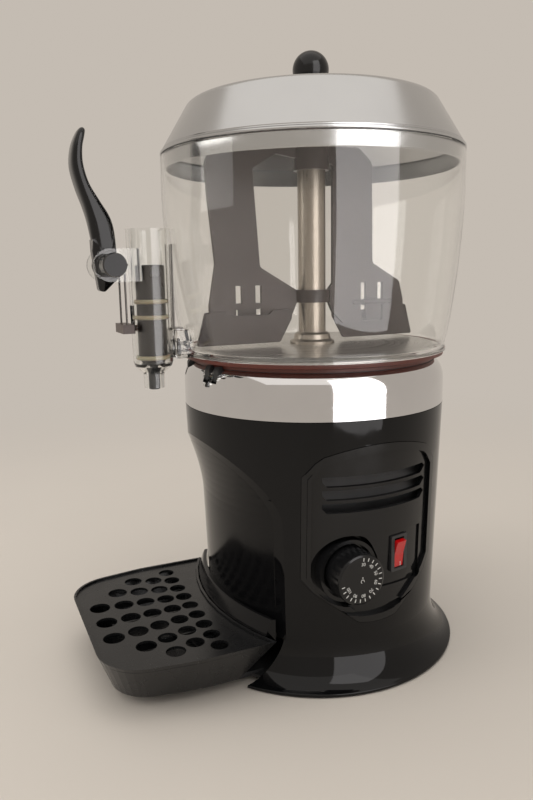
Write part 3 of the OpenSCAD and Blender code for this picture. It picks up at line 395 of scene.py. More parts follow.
LID_STEEL = Metal("lid_spun_steel", (0.56, 0.565, 0.57), (0.17, 0.22), Lay.ROUND, 2400.0, 0.0000012)
RING_CHROME = Metal("ring_chrome", (0.72, 0.715, 0.72), (0.03, 0.08), line_depth=0.00002)
DISH_STEEL = Metal("dish_pressed_steel", (0.52, 0.505, 0.485), (0.2, 0.34), Lay.ROUND, 1100.0, 0.00001,
                   directed=0.3)
COLUMN_STEEL = Metal("column_brushed_steel", (0.38, 0.335, 0.285), (0.22, 0.36), Lay.UPRIGHT, 2600.0,
                     0.000008)
DARK_STEEL = Metal("dark_wire_steel", (0.13, 0.122, 0.115), (0.22, 0.32))
BRIGHT_STEEL = Metal("bright_fitting_steel", (0.58, 0.57, 0.56), (0.16, 0.3))
CAST_GREY = Metal("cast_grey_metal", (0.30, 0.30, 0.295), (0.45, 0.6), line_depth=0.00006)
BOWL_CLEAR = ClearMoulding("bowl_clear_polycarbonate")
TAP_CLEAR = ClearMoulding("tap_clear_polycarbonate", (0.955, 0.96, 0.95), (0.03, 0.10), 0.00018)


class Workshop:
    """Keeps one material for each finish, and reports the pieces."""

    def __init__(self) -> None:
        """Starts with no materials made."""
        self._made: dict[str, bpy.types.Material] = {}

    def material(self, finish: Moulding | Metal | ClearMoulding) -> bpy.types.Material:
        """Gives the finish's material, made once.

        Args:
            finish: The finish.

        Returns:
            Its material.
        """
        if finish.name not in self._made:
            self._made[finish.name] = finish.material()
        return self._made[finish.name]

    def dress(self, finish: Moulding | Metal | ClearMoulding, *nodes: str) -> None:
        """Gives frame nodes a finish.

        Args:
            finish: The finish.
            nodes: The frame's nodes.
        """
        for name in nodes:
            mesh = frame["nodes"][name].data
            mesh.materials.clear()
            mesh.materials.append(self.material(finish))
            LOG.info("%s dressed in %s", name, finish.name)

    def piece(self, name: str, mesh: bpy.types.Mesh, finish: Moulding | Metal | ClearMoulding,
              body: str, slot: str, stands_for: Iterable[str] = ()) -> bpy.types.Object:
        """Adds a piece to the object.

        Args:
            name: The piece's name.
            mesh: Its mesh, in the frame's own place.
            finish: Its finish.
            body: The body that it rides on.
            slot: The record's material slot; not used.
            stands_for: The frame's nodes that it replaces.

        Returns:
            The new object.
        """
        mesh.name = name
        made = bpy.data.objects.new(name, mesh)
        bpy.context.scene.collection.objects.link(made)
        mesh.materials.clear()
        mesh.materials.append(self.material(finish))
        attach(made, body)
        if stands_for:
            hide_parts(*stands_for)
        LOG.info("%s rides on %s, %d faces", name, body, len(mesh.polygons))
        return made


# --- Mesh making ------------------------------------------------------------------------


def flowing(points: Sequence[Point], steps: int = 6) -> list[Point]:
    """Draws a smooth line through points.

    Args:
        points: The points it passes through.
        steps: Pieces between each two of them.

    Returns:
        The smooth line's points.
    """
    line: list[Point] = []
    ends = [points[0], *points, points[-1]]
    for k in range(len(points) - 1):
        a, b, c, d = (Vector(p) for p in ends[k:k + 4])
        for i in range(steps):
            t = i / steps
            p = 0.5 * ((2 * b) + (c - a) * t + (2 * a - 5 * b + 4 * c - d) * t ** 2
                       + (3 * b - a - 3 * c + d) * t ** 3)
            line.append((p.x, p.y))
    line.append(tuple(points[-1]))
    return line


def finished(mesh: bpy.types.Mesh, sharp: float = 32.0) -> bpy.types.Mesh:
    """Shades a mesh smooth with its sharp edges kept.

    Args:
        mesh: The mesh.
        sharp: The angle past which an edge stays sharp, in degrees.

    Returns:
        The same mesh.
    """
    mesh.polygons.foreach_set("use_smooth", [True] * len(mesh.polygons))
    mesh.set_sharp_from_angle(angle=math.radians(sharp))
    mesh.update()
    return mesh


def turned(profile: Sequence[Point], centre: Point = (0.0, 0.0), segments: int = 256) -> bpy.types.Mesh:
    """Turns a closed outline of (radius, height) points round an upright axis.

    Args:
        profile: The outline, in millimetres.
        centre: Where the axis stands, in millimetres.
        segments: Steps round the axis.

    Returns:
        The turned mesh, in metres.
    """
    work = bmesh.new()
    rings: list[list[bmesh.types.BMVert]] = []
    for radius, height in profile:
        count = segments if radius > 1e-4 else 1
        rings.append([
            work.verts.new(((centre[0] + radius * math.cos(math.tau * i / segments)) * MM,
                            (centre[1] + radius * math.sin(math.tau * i / segments)) * MM, height * MM))
            for i in range(count)])
    for here, there in zip(rings, rings[1:] + rings[:1]):
        if len(here) == 1 and len(there) == 1:
            continue
        for i in range(segments):
            j = (i + 1) % segments
            corners = []
            for ring, k in ((here, i), (here, j), (there, j), (there, i)):
                vertex = ring[k % len(ring)]
                if vertex not in corners:
                    corners.append(vertex)
            work.faces.new(corners)
    bmesh.ops.recalc_face_normals(work, faces=work.faces)
    mesh = bpy.data.meshes.new("turned")
    work.to_mesh(mesh)
    work.free()
    return mesh


def block(low: Sequence[float], high: Sequence[float], round_off: float = 0.0) -> bpy.types.Mesh:
    """Makes a block between two corners.

    Args:
        low: The lowest corner, in millimetres.
        high: The highest corner, in millimetres.
        round_off: How much its edges are rounded, in millimetres.

    Returns:
        The block's mesh, in metres.
    """
    work = bmesh.new()
    bmesh.ops.create_cube(work, size=1.0)
    size = [(b - a) * MM for a, b in zip(low, high)]
    middle = [(a + b) / 2 * MM for a, b in zip(low, high)]
    bmesh.ops.scale(work, vec=size, verts=work.verts)
    bmesh.ops.translate(work, vec=middle, verts=work.verts)
    if round_off:
        bmesh.ops.bevel(work, geom=list(work.edges), offset=round_off * MM, segments=3, affect="EDGES",
                        profile=0.5)
    mesh = bpy.data.meshes.new("block")
    work.to_mesh(mesh)
    work.free()
    return mesh


def rod(radius: float, start: Sequence[float], end: Sequence[float], segments: int = 64) -> bpy.types.Mesh:
    """Makes a round rod between two points.

    Args:
        radius: Its radius, in millimetres.
        start: One end, in millimetres.
        end: The other end, in millimetres.
        segments: Steps round it.

    Returns:
        The rod's mesh, in metres.
    """
    a, b = Vector(start) * MM, Vector(end) * MM
    work = bmesh.new()
    bmesh.ops.create_cone(work, cap_ends=True, segments=segments, radius1=radius * MM, radius2=radius * MM,
                          depth=(b - a).length)
    turn = (b - a).to_track_quat("Z", "Y").to_matrix().to_4x4()
    bmesh.ops.transform(work, matrix=Matrix.Translation((a + b) / 2) @ turn, verts=work.verts)
    mesh = bpy.data.meshes.new("rod")
    work.to_mesh(mesh)
    work.free()
    return mesh


class Join(Enum):
    """How two solids are joined."""

    CUT = "DIFFERENCE"
    ADD = "UNION"


def combined(base: bpy.types.Mesh, steps: Sequence[tuple[Join, bpy.types.Mesh]]) -> bpy.types.Mesh:
    """Joins solids to a base, one after another.

    Args:
        base: The first solid.
        steps: How each further solid is joined, and the solid.

    Returns:
        The resulting mesh.
    """
    scene = bpy.context.scene.collection.objects
    body = bpy.data.objects.new("joined", base)
    scene.link(body)
    tools = []
    for how, mesh in steps:
        tool = bpy.data.objects.new("tool", mesh)
        scene.link(tool)
        tools.append(tool)
        change = body.modifiers.new("join", "BOOLEAN")
        change.operation = how.value
        change.object = tool
        change.solver = "EXACT"
    bpy.context.view_layer.update()
    made = bpy.data.meshes.new_from_object(body.evaluated_get(bpy.context.evaluated_depsgraph_get()))
    for thing in [body, *tools]:
        bpy.data.objects.remove(thing)
    return made


def lettering(text: str, size: float) -> bpy.types.Mesh:
    """Makes flat numbers or signs, centred on the origin, facing +Z.

    Args:
        text: What is written.
        size: The height of the figures, in millimetres.

    Returns:
        Their mesh, in metres.
    """
    curve = bpy.data.curves.new("figures", "FONT")
    curve.body = text
    curve.size = size * MM
    curve.align_x = "CENTER"
    curve.align_y = "CENTER"
    curve.extrude = 0.00008
    holder = bpy.data.objects.new("figures", curve)
    bpy.context.scene.collection.objects.link(holder)
    bpy.context.view_layer.update()
    mesh = bpy.data.meshes.new_from_object(holder.evaluated_get(bpy.context.evaluated_depsgraph_get()))
    bpy.data.objects.remove(holder)
    return mesh


def merged(meshes: Iterable[tuple[bpy.types.Mesh, Matrix]]) -> bpy.types.Mesh:
    """Puts meshes together in one.

    Args:
        meshes: Each mesh and where it goes.

    Returns:
        The one mesh.
    """
    work = bmesh.new()
    for mesh, place in meshes:
        moved = mesh.copy()
        moved.transform(place)
        work.from_mesh(moved)
        bpy.data.meshes.remove(moved)
    made = bpy.data.meshes.new("merged")
    work.to_mesh(made)
    work.free()
    return made


class GeometryTree:
    """A Geometry Nodes tree that ends in one plain mesh."""

    def __init__(self, name: str) -> None:
        """Starts an empty tree with a geometry output."""
        self.tree = bpy.data.node_groups.new(name, "GeometryNodeTree")
        self.tree.interface.new_socket("Geometry", in_out="INPUT", socket_type="NodeSocketGeometry")
        self.tree.interface.new_socket("Geometry", in_out="OUTPUT", socket_type="NodeSocketGeometry")
        self.entry = self.tree.nodes.new("NodeGroupInput")
        self.exit = self.tree.nodes.new("NodeGroupOutput")
        self.values: dict[str, float | int] = {}

    def size(self, name: str, value: float | int) -> bpy.types.NodeSocket:
        """Adds a named input.

        Args:
            name: The input's name.
            value: Its value.

        Returns:
            The input's socket inside the tree.
        """
        kind = "NodeSocketInt" if isinstance(value, int) else "NodeSocketFloat"
        made = self.tree.interface.new_socket(name, in_out="INPUT", socket_type=kind)
        self.values[made.identifier] = value
        return self.entry.outputs[name]

    def node(self, kind: str, settings: dict[str, object] | None = None, **inputs: object) -> bpy.types.Node:
        """Adds a node.

        Args:
            kind: The node's type.
            settings: Its properties.
            inputs: Values or sockets for its inputs, with _ for a space.

        Returns:
            The new node.
        """
        made = self.tree.nodes.new(kind)
        for key, value in (settings or {}).items():
            setattr(made, key, value)
        for key, value in inputs.items():
            socket = made.inputs[key.replace("_", " ")]
            if isinstance(value, bpy.types.NodeSocket):
                self.tree.links.new(value, socket)
            else:
                socket.default_value = value
        return made

    def mesh(self, geometry: bpy.types.NodeSocket, material: bpy.types.Material) -> bpy.types.Mesh:
        """Closes the tree and turns its result into a plain mesh.

        Args:
            geometry: What the tree has made.
            material: The material it gets.

        Returns:
            The plain mesh.
        """
        real = self.node("GeometryNodeRealizeInstances", Geometry=geometry)
        dressed = self.node("GeometryNodeSetMaterial", Geometry=real.outputs[0], Material=material)
        self.tree.links.new(dressed.outputs[0], self.exit.inputs[0])
        holder = bpy.data.objects.new("pattern", bpy.data.meshes.new("pattern"))
        bpy.context.scene.collection.objects.link(holder)
        change = holder.modifiers.new("pattern", "NODES")
        change.node_group = self.tree
        for identifier, value in self.values.items():
            change[identifier] = value
        bpy.context.view_layer.update()
        made = bpy.data.meshes.new_from_object(holder.evaluated_get(bpy.context.evaluated_depsgraph_get()))
        bpy.data.objects.remove(holder)
        return made


def box_mm(node: str) -> tuple[Vector, Vector]:
    """Gives a frame node's lowest and highest corner, in millimetres."""
    low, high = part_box(node)
    return low / MM, high / MM


# --- Sub-assemblies ---------------------------------------------------------------------


@dataclass
class Base:
    """The foot, the body shell, the cup recess and the chrome ring."""

    shop: Workshop
    wall: float = 2.6
    lug_angle: float = 16.0
    lug_gap: float = 3.0
    lug_width: float = 7.0
    ring_curl: float = 12.0
    ring_rise: float = 20.0
    ring_wall: float = 1.2
    seam_radius: float = 121.0
    flare_past: float = 5.0
    flare_height: float = 40.0
    opening_half: Point = (86.0, 6.2)

    def build_ring(self) -> None:
        """Makes the chrome ring with its rounded shoulder and its four notches."""
        low, high = box_mm("chrome_ring")
        radius, curl, rise, wall = high.x, self.ring_curl, self.ring_rise, self.ring_wall
        outer = [(radius, low.z + 0.6), (radius, high.z - rise)]
        turns = [math.radians(a) for a in range(0, 78, 3)]
        outer += [(radius - curl + curl * math.cos(t), high.z - rise + rise * math.sin(t)) for t in turns[1:]]
        inner = [(radius - curl + (curl - wall) * math.cos(t), high.z - rise + (rise - wall) * math.sin(t))
                 for t in reversed(turns)]
        profile = [(radius - 0.6, low.z), *outer, *inner, (radius - wall, low.z)]
        cuts = []
        for side in (-1, 1):
            for step in (-1, 1):
                angle = math.radians(-90 + side * self.lug_angle + step * self.lug_gap)
                cutter = block((radius - 15, -self.lug_width / 2, high.z - 13),
                               (radius + 5, self.lug_width / 2, high.z + 7))
                cutter.transform(Matrix.Rotation(angle, 4, "Z"))
                cuts.append((Join.CUT, cutter))
        mesh = combined(turned(profile), cuts)
        self.shop.piece("chrome_band", finished(mesh), RING_CHROME, "machine", "ring_chrome", ["chrome_ring"])

    def build_foot(self) -> None:
        """Makes the flared foot with its smooth sweep, opened at the front for the tray."""
        low, high = box_mm("foot_skirt")
        foot, seam = high.x, (self.seam_radius, high.z)
        wide = foot + self.flare_past - seam[0]
        end = math.acos(self.flare_past / wide)
        turns = [end * (1 - i / 32) for i in range(33)]
        sweep = [(foot + self.flare_past - wide * math.cos(t), seam[1] - self.flare_height * math.sin(t))
                 for t in turns]
        lip = flowing([(foot - 1.2, low.z), (foot - 0.3, low.z + 0.3), (foot, low.z + 1.1), (foot, 2.9),
                       (foot - 0.25, 3.65), (foot - 1.0, 4.08)], 4)
        inner = [(r - self.wall, max(z - self.wall, low.z + 0.2)) for r, z in sweep]
        profile = [*lip, *[p for p in sweep if p[0] < foot - 1.5], (seam[0] - self.wall, seam[1]),
                   *reversed(inner), (foot - self.wall, low.z)]
        top = seam[1] + 2
        half_low, spread = self.opening_half
        half_high = half_low + spread * top / seam[1]
        wedge = bmesh.new()
        corners = [wedge.verts.new((x * MM, y * MM, z * MM)) for y in (-160, -60) for x, z in
                   ((-half_low, -1), (half_low, -1), (half_high, top), (-half_high, top))]
        for face in ((0, 1, 2, 3), (7, 6, 5, 4), (0, 4, 5, 1), (1, 5, 6, 2), (2, 6, 7, 3), (3, 7, 4, 0)):
            wedge.faces.new([corners[i] for i in face])
        bmesh.ops.recalc_face_normals(wedge, faces=wedge.faces)
        cutter = bpy.data.meshes.new("wedge")
        wedge.to_mesh(cutter)
        wedge.free()
        mesh = combined(turned(profile, segments=320), [(Join.CUT, cutter)])
        self.shop.piece("foot_flare", finished(mesh), BODY_GLOSS, "machine", "body_gloss", ["foot_skirt"])

    def dress(self) -> None:
        """Gives the base's other nodes their finishes."""
        shop = self.shop
        shop.dress(BODY_GLOSS, "body_shell")
        shop.dress(RECESS_GLOSS, "recess_panel")
        shop.dress(INNER_POLYMER, "base_plate", "bowl_lugs", "top_carrier")
        shop.dress(BLACK_RUBBER, "rubber_feet", "cable_gland")
        # The seal's colour holds painted shade, darkened for the shade below the bowl.
        shop.dress(SHADED_RED_SEAL, "bowl_seal")
        shop.dress(DISH_STEEL, "heating_dish", "motor_bracket")
        shop.dress(CAST_GREY, "heater_element", "gear_motor", "thermostat")
        shop.dress(BRIGHT_STEEL, "base_screws")


@dataclass
class Controls:
    """The panel on the side, with its dial, its switch and their marks."""

    shop: Workshop
    first_angle: float = 85.0
    tick_step: float = 15.0
    tick_count: int = 18
    tick_ring: float = 18.6
    figure_ring: float = 14.2
    figures: tuple[str, ...] = ("30", "40", "50", "60", "70", "80", "90", "100")

    def build_marks(self) -> None:
        """Prints the ticks and figures on the dial's face."""
        low, high = box_mm("thermostat_dial")
        centre = Vector(((low.x + high.x) / 2, (low.y + high.y) / 2, (low.z + high.z) / 2))
        face = high.x + 0.02
        to_face = Matrix.Translation(Vector((face, centre.y, centre.z)) * MM) @ Matrix(
            ((0, 0, 1, 0), (1, 0, 0, 0), (0, 1, 0, 0), (0, 0, 0, 1)))
        graph = GeometryTree("dial_ticks")
        count = graph.size("Ticks", self.tick_count)
        ring = graph.size("Ring radius", self.tick_ring * MM)
        step = graph.size("Step", math.radians(self.tick_step))
        start = graph.size("First angle", math.radians(self.first_angle))
        line = graph.node("GeometryNodeMeshLine", Count=count, Offset=(0, 0, 0))
        index = graph.node("GeometryNodeInputIndex")
        turn = graph.node("ShaderNodeMath", {"operation": "MULTIPLY"})
        graph.tree.links.new(index.outputs[0], turn.inputs[0])
        graph.tree.links.new(step, turn.inputs[1])
        angle = graph.node("ShaderNodeMath", {"operation": "SUBTRACT"})
        graph.tree.links.new(start, angle.inputs[0])
        graph.tree.links.new(turn.outputs[0], angle.inputs[1])
        spin = graph.node("ShaderNodeCombineXYZ", Z=angle.outputs[0])
        tick = graph.node("GeometryNodeMeshCube", Size=(3.0 * MM, 0.8 * MM, 0.12 * MM))
        shift = graph.node("ShaderNodeCombineXYZ", X=ring)
        moved = graph.node("GeometryNodeTransform", Geometry=tick.outputs[0], Translation=shift.outputs[0])
        marks = graph.node("GeometryNodeInstanceOnPoints", Points=line.outputs[0], Instance=moved.outputs[0],
                           Rotation=spin.outputs[0])
        ticks = graph.mesh(marks.outputs[0], self.shop.material(MARK_WHITE))
        parts = [(ticks, to_face)]
        upright = Matrix.Translation((self.figure_ring * MM, 0, 0)) @ Matrix.Rotation(-math.pi / 2, 4, "Z")
        for k, figure in enumerate(self.figures):
            turn_to = math.radians(self.first_angle - 2.25 * self.tick_step * k)
            parts.append((lettering(figure, 4.2), to_face @ Matrix.Rotation(turn_to, 4, "Z") @ upright))
        parts.append((lettering("°C", 5.0), to_face @ Matrix.Rotation(-1.2, 4, "Z")))
        self.shop.piece("dial_marks", merged(parts), MARK_WHITE, "dial", "panel_satin")

    def build_louvre_shade_plate(self) -> None:
        """Stands a dark plate behind the louvres as painted shade for the body's shaded inside, so that no
        light comes through the shell.
        """
        # A dark sheet as painted shade: it stands where only the shade of the body's inside shows through the
        # louvres.
        plate = block((96.0, -56.0, 152.0), (97.0, 70.0, 202.0), 0.3)
        self.shop.piece("louvre_shade_plate", plate, INNER_POLYMER, "machine", "panel_satin")

    def build_switch_signs(self) -> None:
        """Prints the on and off signs on the rocker."""
        low, high = box_mm("switch_rocker")
        centre_y, centre_z = (low.y + high.y) / 2, (low.z + high.z) / 2
        out = Vector((high.x, centre_y, 0)).normalized()
        signs = []
        for text, rise, lean, depth in (("O", 8.4, -0.32, -2.25), ("I", -8.4, -0.03, 0.0)):
            turn = Matrix(((out.x * math.cos(lean), -out.y, -out.x * math.sin(lean), 0),
                           (out.y * math.cos(lean), out.x, -out.y * math.sin(lean), 0),
                           (math.sin(lean), 0, math.cos(lean), 0), (0, 0, 0, 1)))
            flat = Matrix(((0, 0, 1, 0), (1, 0, 0, 0), (0, 1, 0, 0), (0, 0, 0, 1)))
            place = Matrix.Translation((out * (Vector((high.x, centre_y, 0)).length - 0.9 + depth)
                                        + Vector((0, 0, centre_z + rise))) * MM)
            signs.append((lettering(text, 5.4), place @ turn @ flat))
        self.shop.piece("rocker_signs", merged(signs), MARK_WHITE, "rocker", "rocker_red")

    def dress(self) -> None:
        """Gives the controls their finishes."""
        self.shop.dress(PANEL_SATIN, "control_panel", "dial_bezel", "thermostat_dial")
        self.shop.dress(INNER_POLYMER, "switch_housing")
        self.shop.dress(ROCKER_RED, "switch_rocker")


@dataclass
class Vessel:
    """The clear bowl, and what stands in it."""

    shop: Workshop
    wall: float = 3.0
    throat: float = 125.3
    tap_y: float = 162.4
    tap_low_r: float = 18.0
    inlet: tuple[float, float] = (303.0, 6.0)

    def outline(self, inset: float) -> list[Point]:
        """Gives the bowl's side, drawn in by an inset, from its foot to its rim.

        Args:
            inset: How far inside the outer face it lies, in millimetres.

        Returns:
            The line's points, in millimetres.
        """
        low, high = box_mm("bowl")
        foot, rim, tall = self.throat + self.wall + 0.2, high.x, high.z - low.z
        shares = [(-0.06, 0.028), (0, 0.045), (0.15, 0.1), (0.36, 0.2), (0.51, 0.29), (0.68, 0.4),
                  (0.82, 0.525), (0.94, 0.66), (1, 0.79)]
        line = [(foot + (rim - foot) * a - inset, low.z + tall * b) for a, b in shares]
        return flowing([*line, (rim - inset, high.z - 4)], 6)

    def build(self) -> None:
        """Makes the clear bowl with its rounded rim, its foot and the tap's socket block."""
        low, high = box_mm("bowl")
        rim, top, foot = high.x, high.z, self.throat + self.wall + 0.7
        outer = [(foot - 0.8, low.z), (foot, low.z + 0.8), (foot, low.z + 3.2), *self.outline(0)]
        inner = [p for p in reversed(self.outline(self.wall))
                 if p[0] > self.throat + 0.2 and p[1] > low.z + 9]
        edge = [(rim, top - 1.2), (rim - 0.9, top - 0.1), (rim - 2.1, top - 0.1),
                (rim - self.wall, top - 1.2)]
        profile = [*outer, *edge, *inner, (self.throat, low.z + 8), (self.throat, low.z)]
        near = self.tap_y - self.tap_low_r - 0.6
        socket = block((-13, -near, low.z + 0.2), (13, -near + 40, self.inlet[0] + self.inlet[1] + 11), 1.2)
        clear = turned([(0, low.z - 1), (self.throat + 1.5, low.z - 1), (self.throat + 1.5, low.z + 60),
                        (0, low.z + 60)])
        bore = rod(self.inlet[1], (0, -self.tap_y, self.inlet[0]), (0, -100, self.inlet[0]))
        seat = rod(self.inlet[1] + 3, (0, -near - 1, self.inlet[0]), (0, -near + 5, self.inlet[0]))
        socket = combined(socket, [(Join.CUT, clear)])
        mesh = combined(turned(profile, segments=320),
                        [(Join.ADD, socket), (Join.CUT, bore), (Join.CUT, seat)])
        self.shop.piece("bowl_vessel", finished(mesh, 28), BOWL_CLEAR, "bowl_set", "bowl_clear", ["bowl"])

    def dress(self) -> None:
        """Gives the column and the stirrer their finishes."""
        shop = self.shop
        shop.dress(COLUMN_STEEL, "column", "drive_shaft")
        shop.dress(BUSH_IVORY, "column_bushes")
        shop.dress(STIRRER_BROWN, "stirrer", "scraper_pins")
        shop.dress(SCRAPER_BROWN, "scraper_front", "scraper_rear")
        shop.dress(COLLAR_BROWN, "stirrer_collar")


@dataclass
class Lid:
    """The domed lid with its ball knob."""

    shop: Workshop
    wall: float = 1.4
    radius: float = 142.0
    inner_radius: float = 139.2
    shoulder: Point = (118.5, 41.2)
    turn_radius: float = 12.0
    slope: float = math.radians(13.0)

    def crown(self, rim_z: float, inset: float) -> list[Point]:
        """Gives the shoulder's turn and the dome, drawn in by an inset.

        Args:
            rim_z: The height of the rim, in millimetres.
            inset: How far inside the outer face the line lies, in millimetres.

        Returns:
            The line's points, in millimetres.
        """
        turn, slope, flank = self.turn_radius, self.slope, self.flank()
        across = self.shoulder[0] - turn * math.sin(flank)
        up = rim_z + self.shoulder[1] - turn * math.cos(flank)
        sphere = (across + turn * math.sin(slope)) / math.sin(slope)
        base = up + turn * math.cos(slope) - sphere * math.cos(slope)
        bend = [math.pi / 2 - flank + (flank - slope) * i / 16 for i in range(17)]
        rise = [slope * (1 - i / 24) for i in range(1, 25)]
        return [*[(across + (turn - inset) * math.cos(t), up + (turn - inset) * math.sin(t)) for t in bend],
                *[((sphere - inset) * math.sin(t), base + (sphere - inset) * math.cos(t)) for t in rise]]

    def flank(self) -> float:
        """Gives the slope of the flank below the shoulder, in radians."""
        return math.atan2(self.shoulder[1] - 3, self.radius - self.shoulder[0])

    def build(self) -> None:
        """Makes the dome with its rolled rim and the fine steps above it."""
        skirt, rim_z, radius = box_mm("lid")[0].z, box_mm("bowl")[1].z + 0.3, self.radius
        dome = self.crown(rim_z, 0)
        inside = [(radius - self.wall / math.sin(self.flank()), rim_z + 3), *self.crown(rim_z, self.wall)]
        roll = flowing([(radius - 1.6, rim_z + 0.1), (radius, rim_z), (radius + 0.75, rim_z + 0.5),
                        (radius + 0.9, rim_z + 1.3), (radius + 0.6, rim_z + 2.4)], 4)
        steps = [(radius - 0.5, rim_z + 3.1), (radius - 1.5, rim_z + 3.5), (radius - 1.7, rim_z + 4.3),
                 (radius - 1.4, rim_z + 4.9)]
        inner = self.inner_radius
        skirt_line = [(inner - 1.8, rim_z + 2.2), (inner - 1.8, skirt), (inner - 0.6, skirt),
                      (inner, skirt + 1.0), (inner, rim_z)]
        profile = [*roll, *steps, *dome, *reversed(inside), *skirt_line]
        mesh = turned(profile, segments=320)
        self.shop.piece("lid_dome", finished(mesh), LID_STEEL, "lid_set", "lid_steel", ["lid"])

    def dress(self) -> None:
        """Gives the knob and its screw their finishes."""
        self.shop.dress(LEVER_GLOSS, "lid_knob")
        self.shop.dress(BRIGHT_STEEL, "knob_screw")


@dataclass(frozen=True)
class Section:
    """One slice of the lever's grip: where its middle lies from the pivot, and its half sizes."""

    out: float
    up: float
    thick: float
    wide: float


def paddle(sections: Sequence[Section], pivot: Point, square: float = 3.2,
           around: int = 40) -> bpy.types.Mesh:
    """Draws a smooth solid through slices that stand across a curved line.

    Args:
        sections: The slices, from the root to the tip.
        pivot: The pivot's Y and Z, in millimetres.
        square: How square the slices are, where 2 is an ellipse.
        around: Points round each slice.

    Returns:
        The solid's mesh, in metres.
    """
    spine = flowing([(s.out, s.up) for s in sections], 6)
    sizes = flowing([(s.thick, s.wide) for s in sections], 6)
    work = bmesh.new()
    rings: list[list[bmesh.types.BMVert]] = []
    last = len(spine) - 1
    for k, ((out, up), (thick, wide)) in enumerate(zip(spine, sizes)):
        before, after = Vector(spine[max(0, k - 1)]), Vector(spine[min(last, k + 1)])
        along = (after - before).normalized()
        ring = []
        for i in range(around):
            t = math.tau * i / around
            c, n = math.cos(t), math.sin(t)
            side = math.copysign(abs(c) ** (2 / square), c) * wide
            rise = math.copysign(abs(n) ** (2 / square), n) * thick
            y, z = pivot[0] - (out + along.y * rise), pivot[1] + up - along.x * rise
            ring.append(work.verts.new((side * MM, y * MM, z * MM)))
        rings.append(ring)
    for here, there in zip(rings, rings[1:]):
        for i in range(around):
            j = (i + 1) % around
            work.faces.new((here[i], here[j], there[j], there[i]))
    work.faces.new(rings[0])
    work.faces.new(rings[-1])
    bmesh.ops.recalc_face_normals(work, faces=work.faces)
    mesh = bpy.data.meshes.new("paddle")
    work.to_mesh(mesh)
    work.free()
    return mesh


GRIP = (
    Section(1.2, 10, 9.0, 8.0), Section(1.9, 24, 10.2, 8.8), Section(4.4, 37, 9.8, 10.4),
    Section(10.2, 51, 7.4, 12.0), Section(16.8, 66, 5.6, 12.9), Section(20.6, 82, 5.2, 13.0),
    Section(19.8, 96, 4.4, 12.8), Section(16.6, 106, 3.6, 11.4), Section(14.6, 110.4, 2.6, 9.0),
    Section(13.9, 112.0, 1.2, 6.0),
)


@dataclass
class Tap:
    """The clear tap with its lever, plunger and links."""

    shop: Workshop
    pivot: Point = (-200.5, 378.0)

    def build_lever(self) -> None:
        """Makes the lever, with the hub and the web of the frame and a smooth curved grip."""
        work = bmesh.new()
        work.from_mesh(frame["nodes"]["tap_lever"].data)
        bmesh.ops.remove_doubles(work, verts=work.verts, dist=1e-6)
        hub = bpy.data.meshes.new("hub")
        work.to_mesh(hub)
        work.free()
        y, z = self.pivot
        above = block((-20, y - 60, z + 22), (20, y + 30, z + 140))
        grip = paddle(GRIP, self.pivot)
        mesh = combined(hub, [(Join.CUT, above), (Join.ADD, grip)])
        self.shop.piece("lever_paddle", finished(mesh, 38), LEVER_GLOSS, "lever", "lever_gloss",
                        ["tap_lever"])

    def dress(self) -> None:
        """Gives the tap's nodes their finishes."""
        shop = self.shop
        shop.dress(TAP_CLEAR, "tap_body")
        shop.dress(BLACK_RUBBER, "tap_inlet_seal", "valve_tip")
        shop.dress(BRIGHT_STEEL, "lever_pin")
        shop.dress(DARK_STEEL, "tap_retainer", "link_wires")
        shop.dress(PANEL_SATIN, "pin_knob")
        shop.dress(PLUNGER_DARK, "tap_plunger")
        shop.dress(CREAM_SEAL, "plunger_seals")
        shop.dress(BAR_BROWN, "cross_bar")


@dataclass
class Tray:
    """The drip tray and its grid."""

    shop: Workshop

    def dress(self) -> None:
        """Gives the tray and the grid their finish."""
        self.shop.dress(TRAY_SATIN, "drip_tray", "drip_grid")


# --- Stage ------------------------------------------------------------------------------


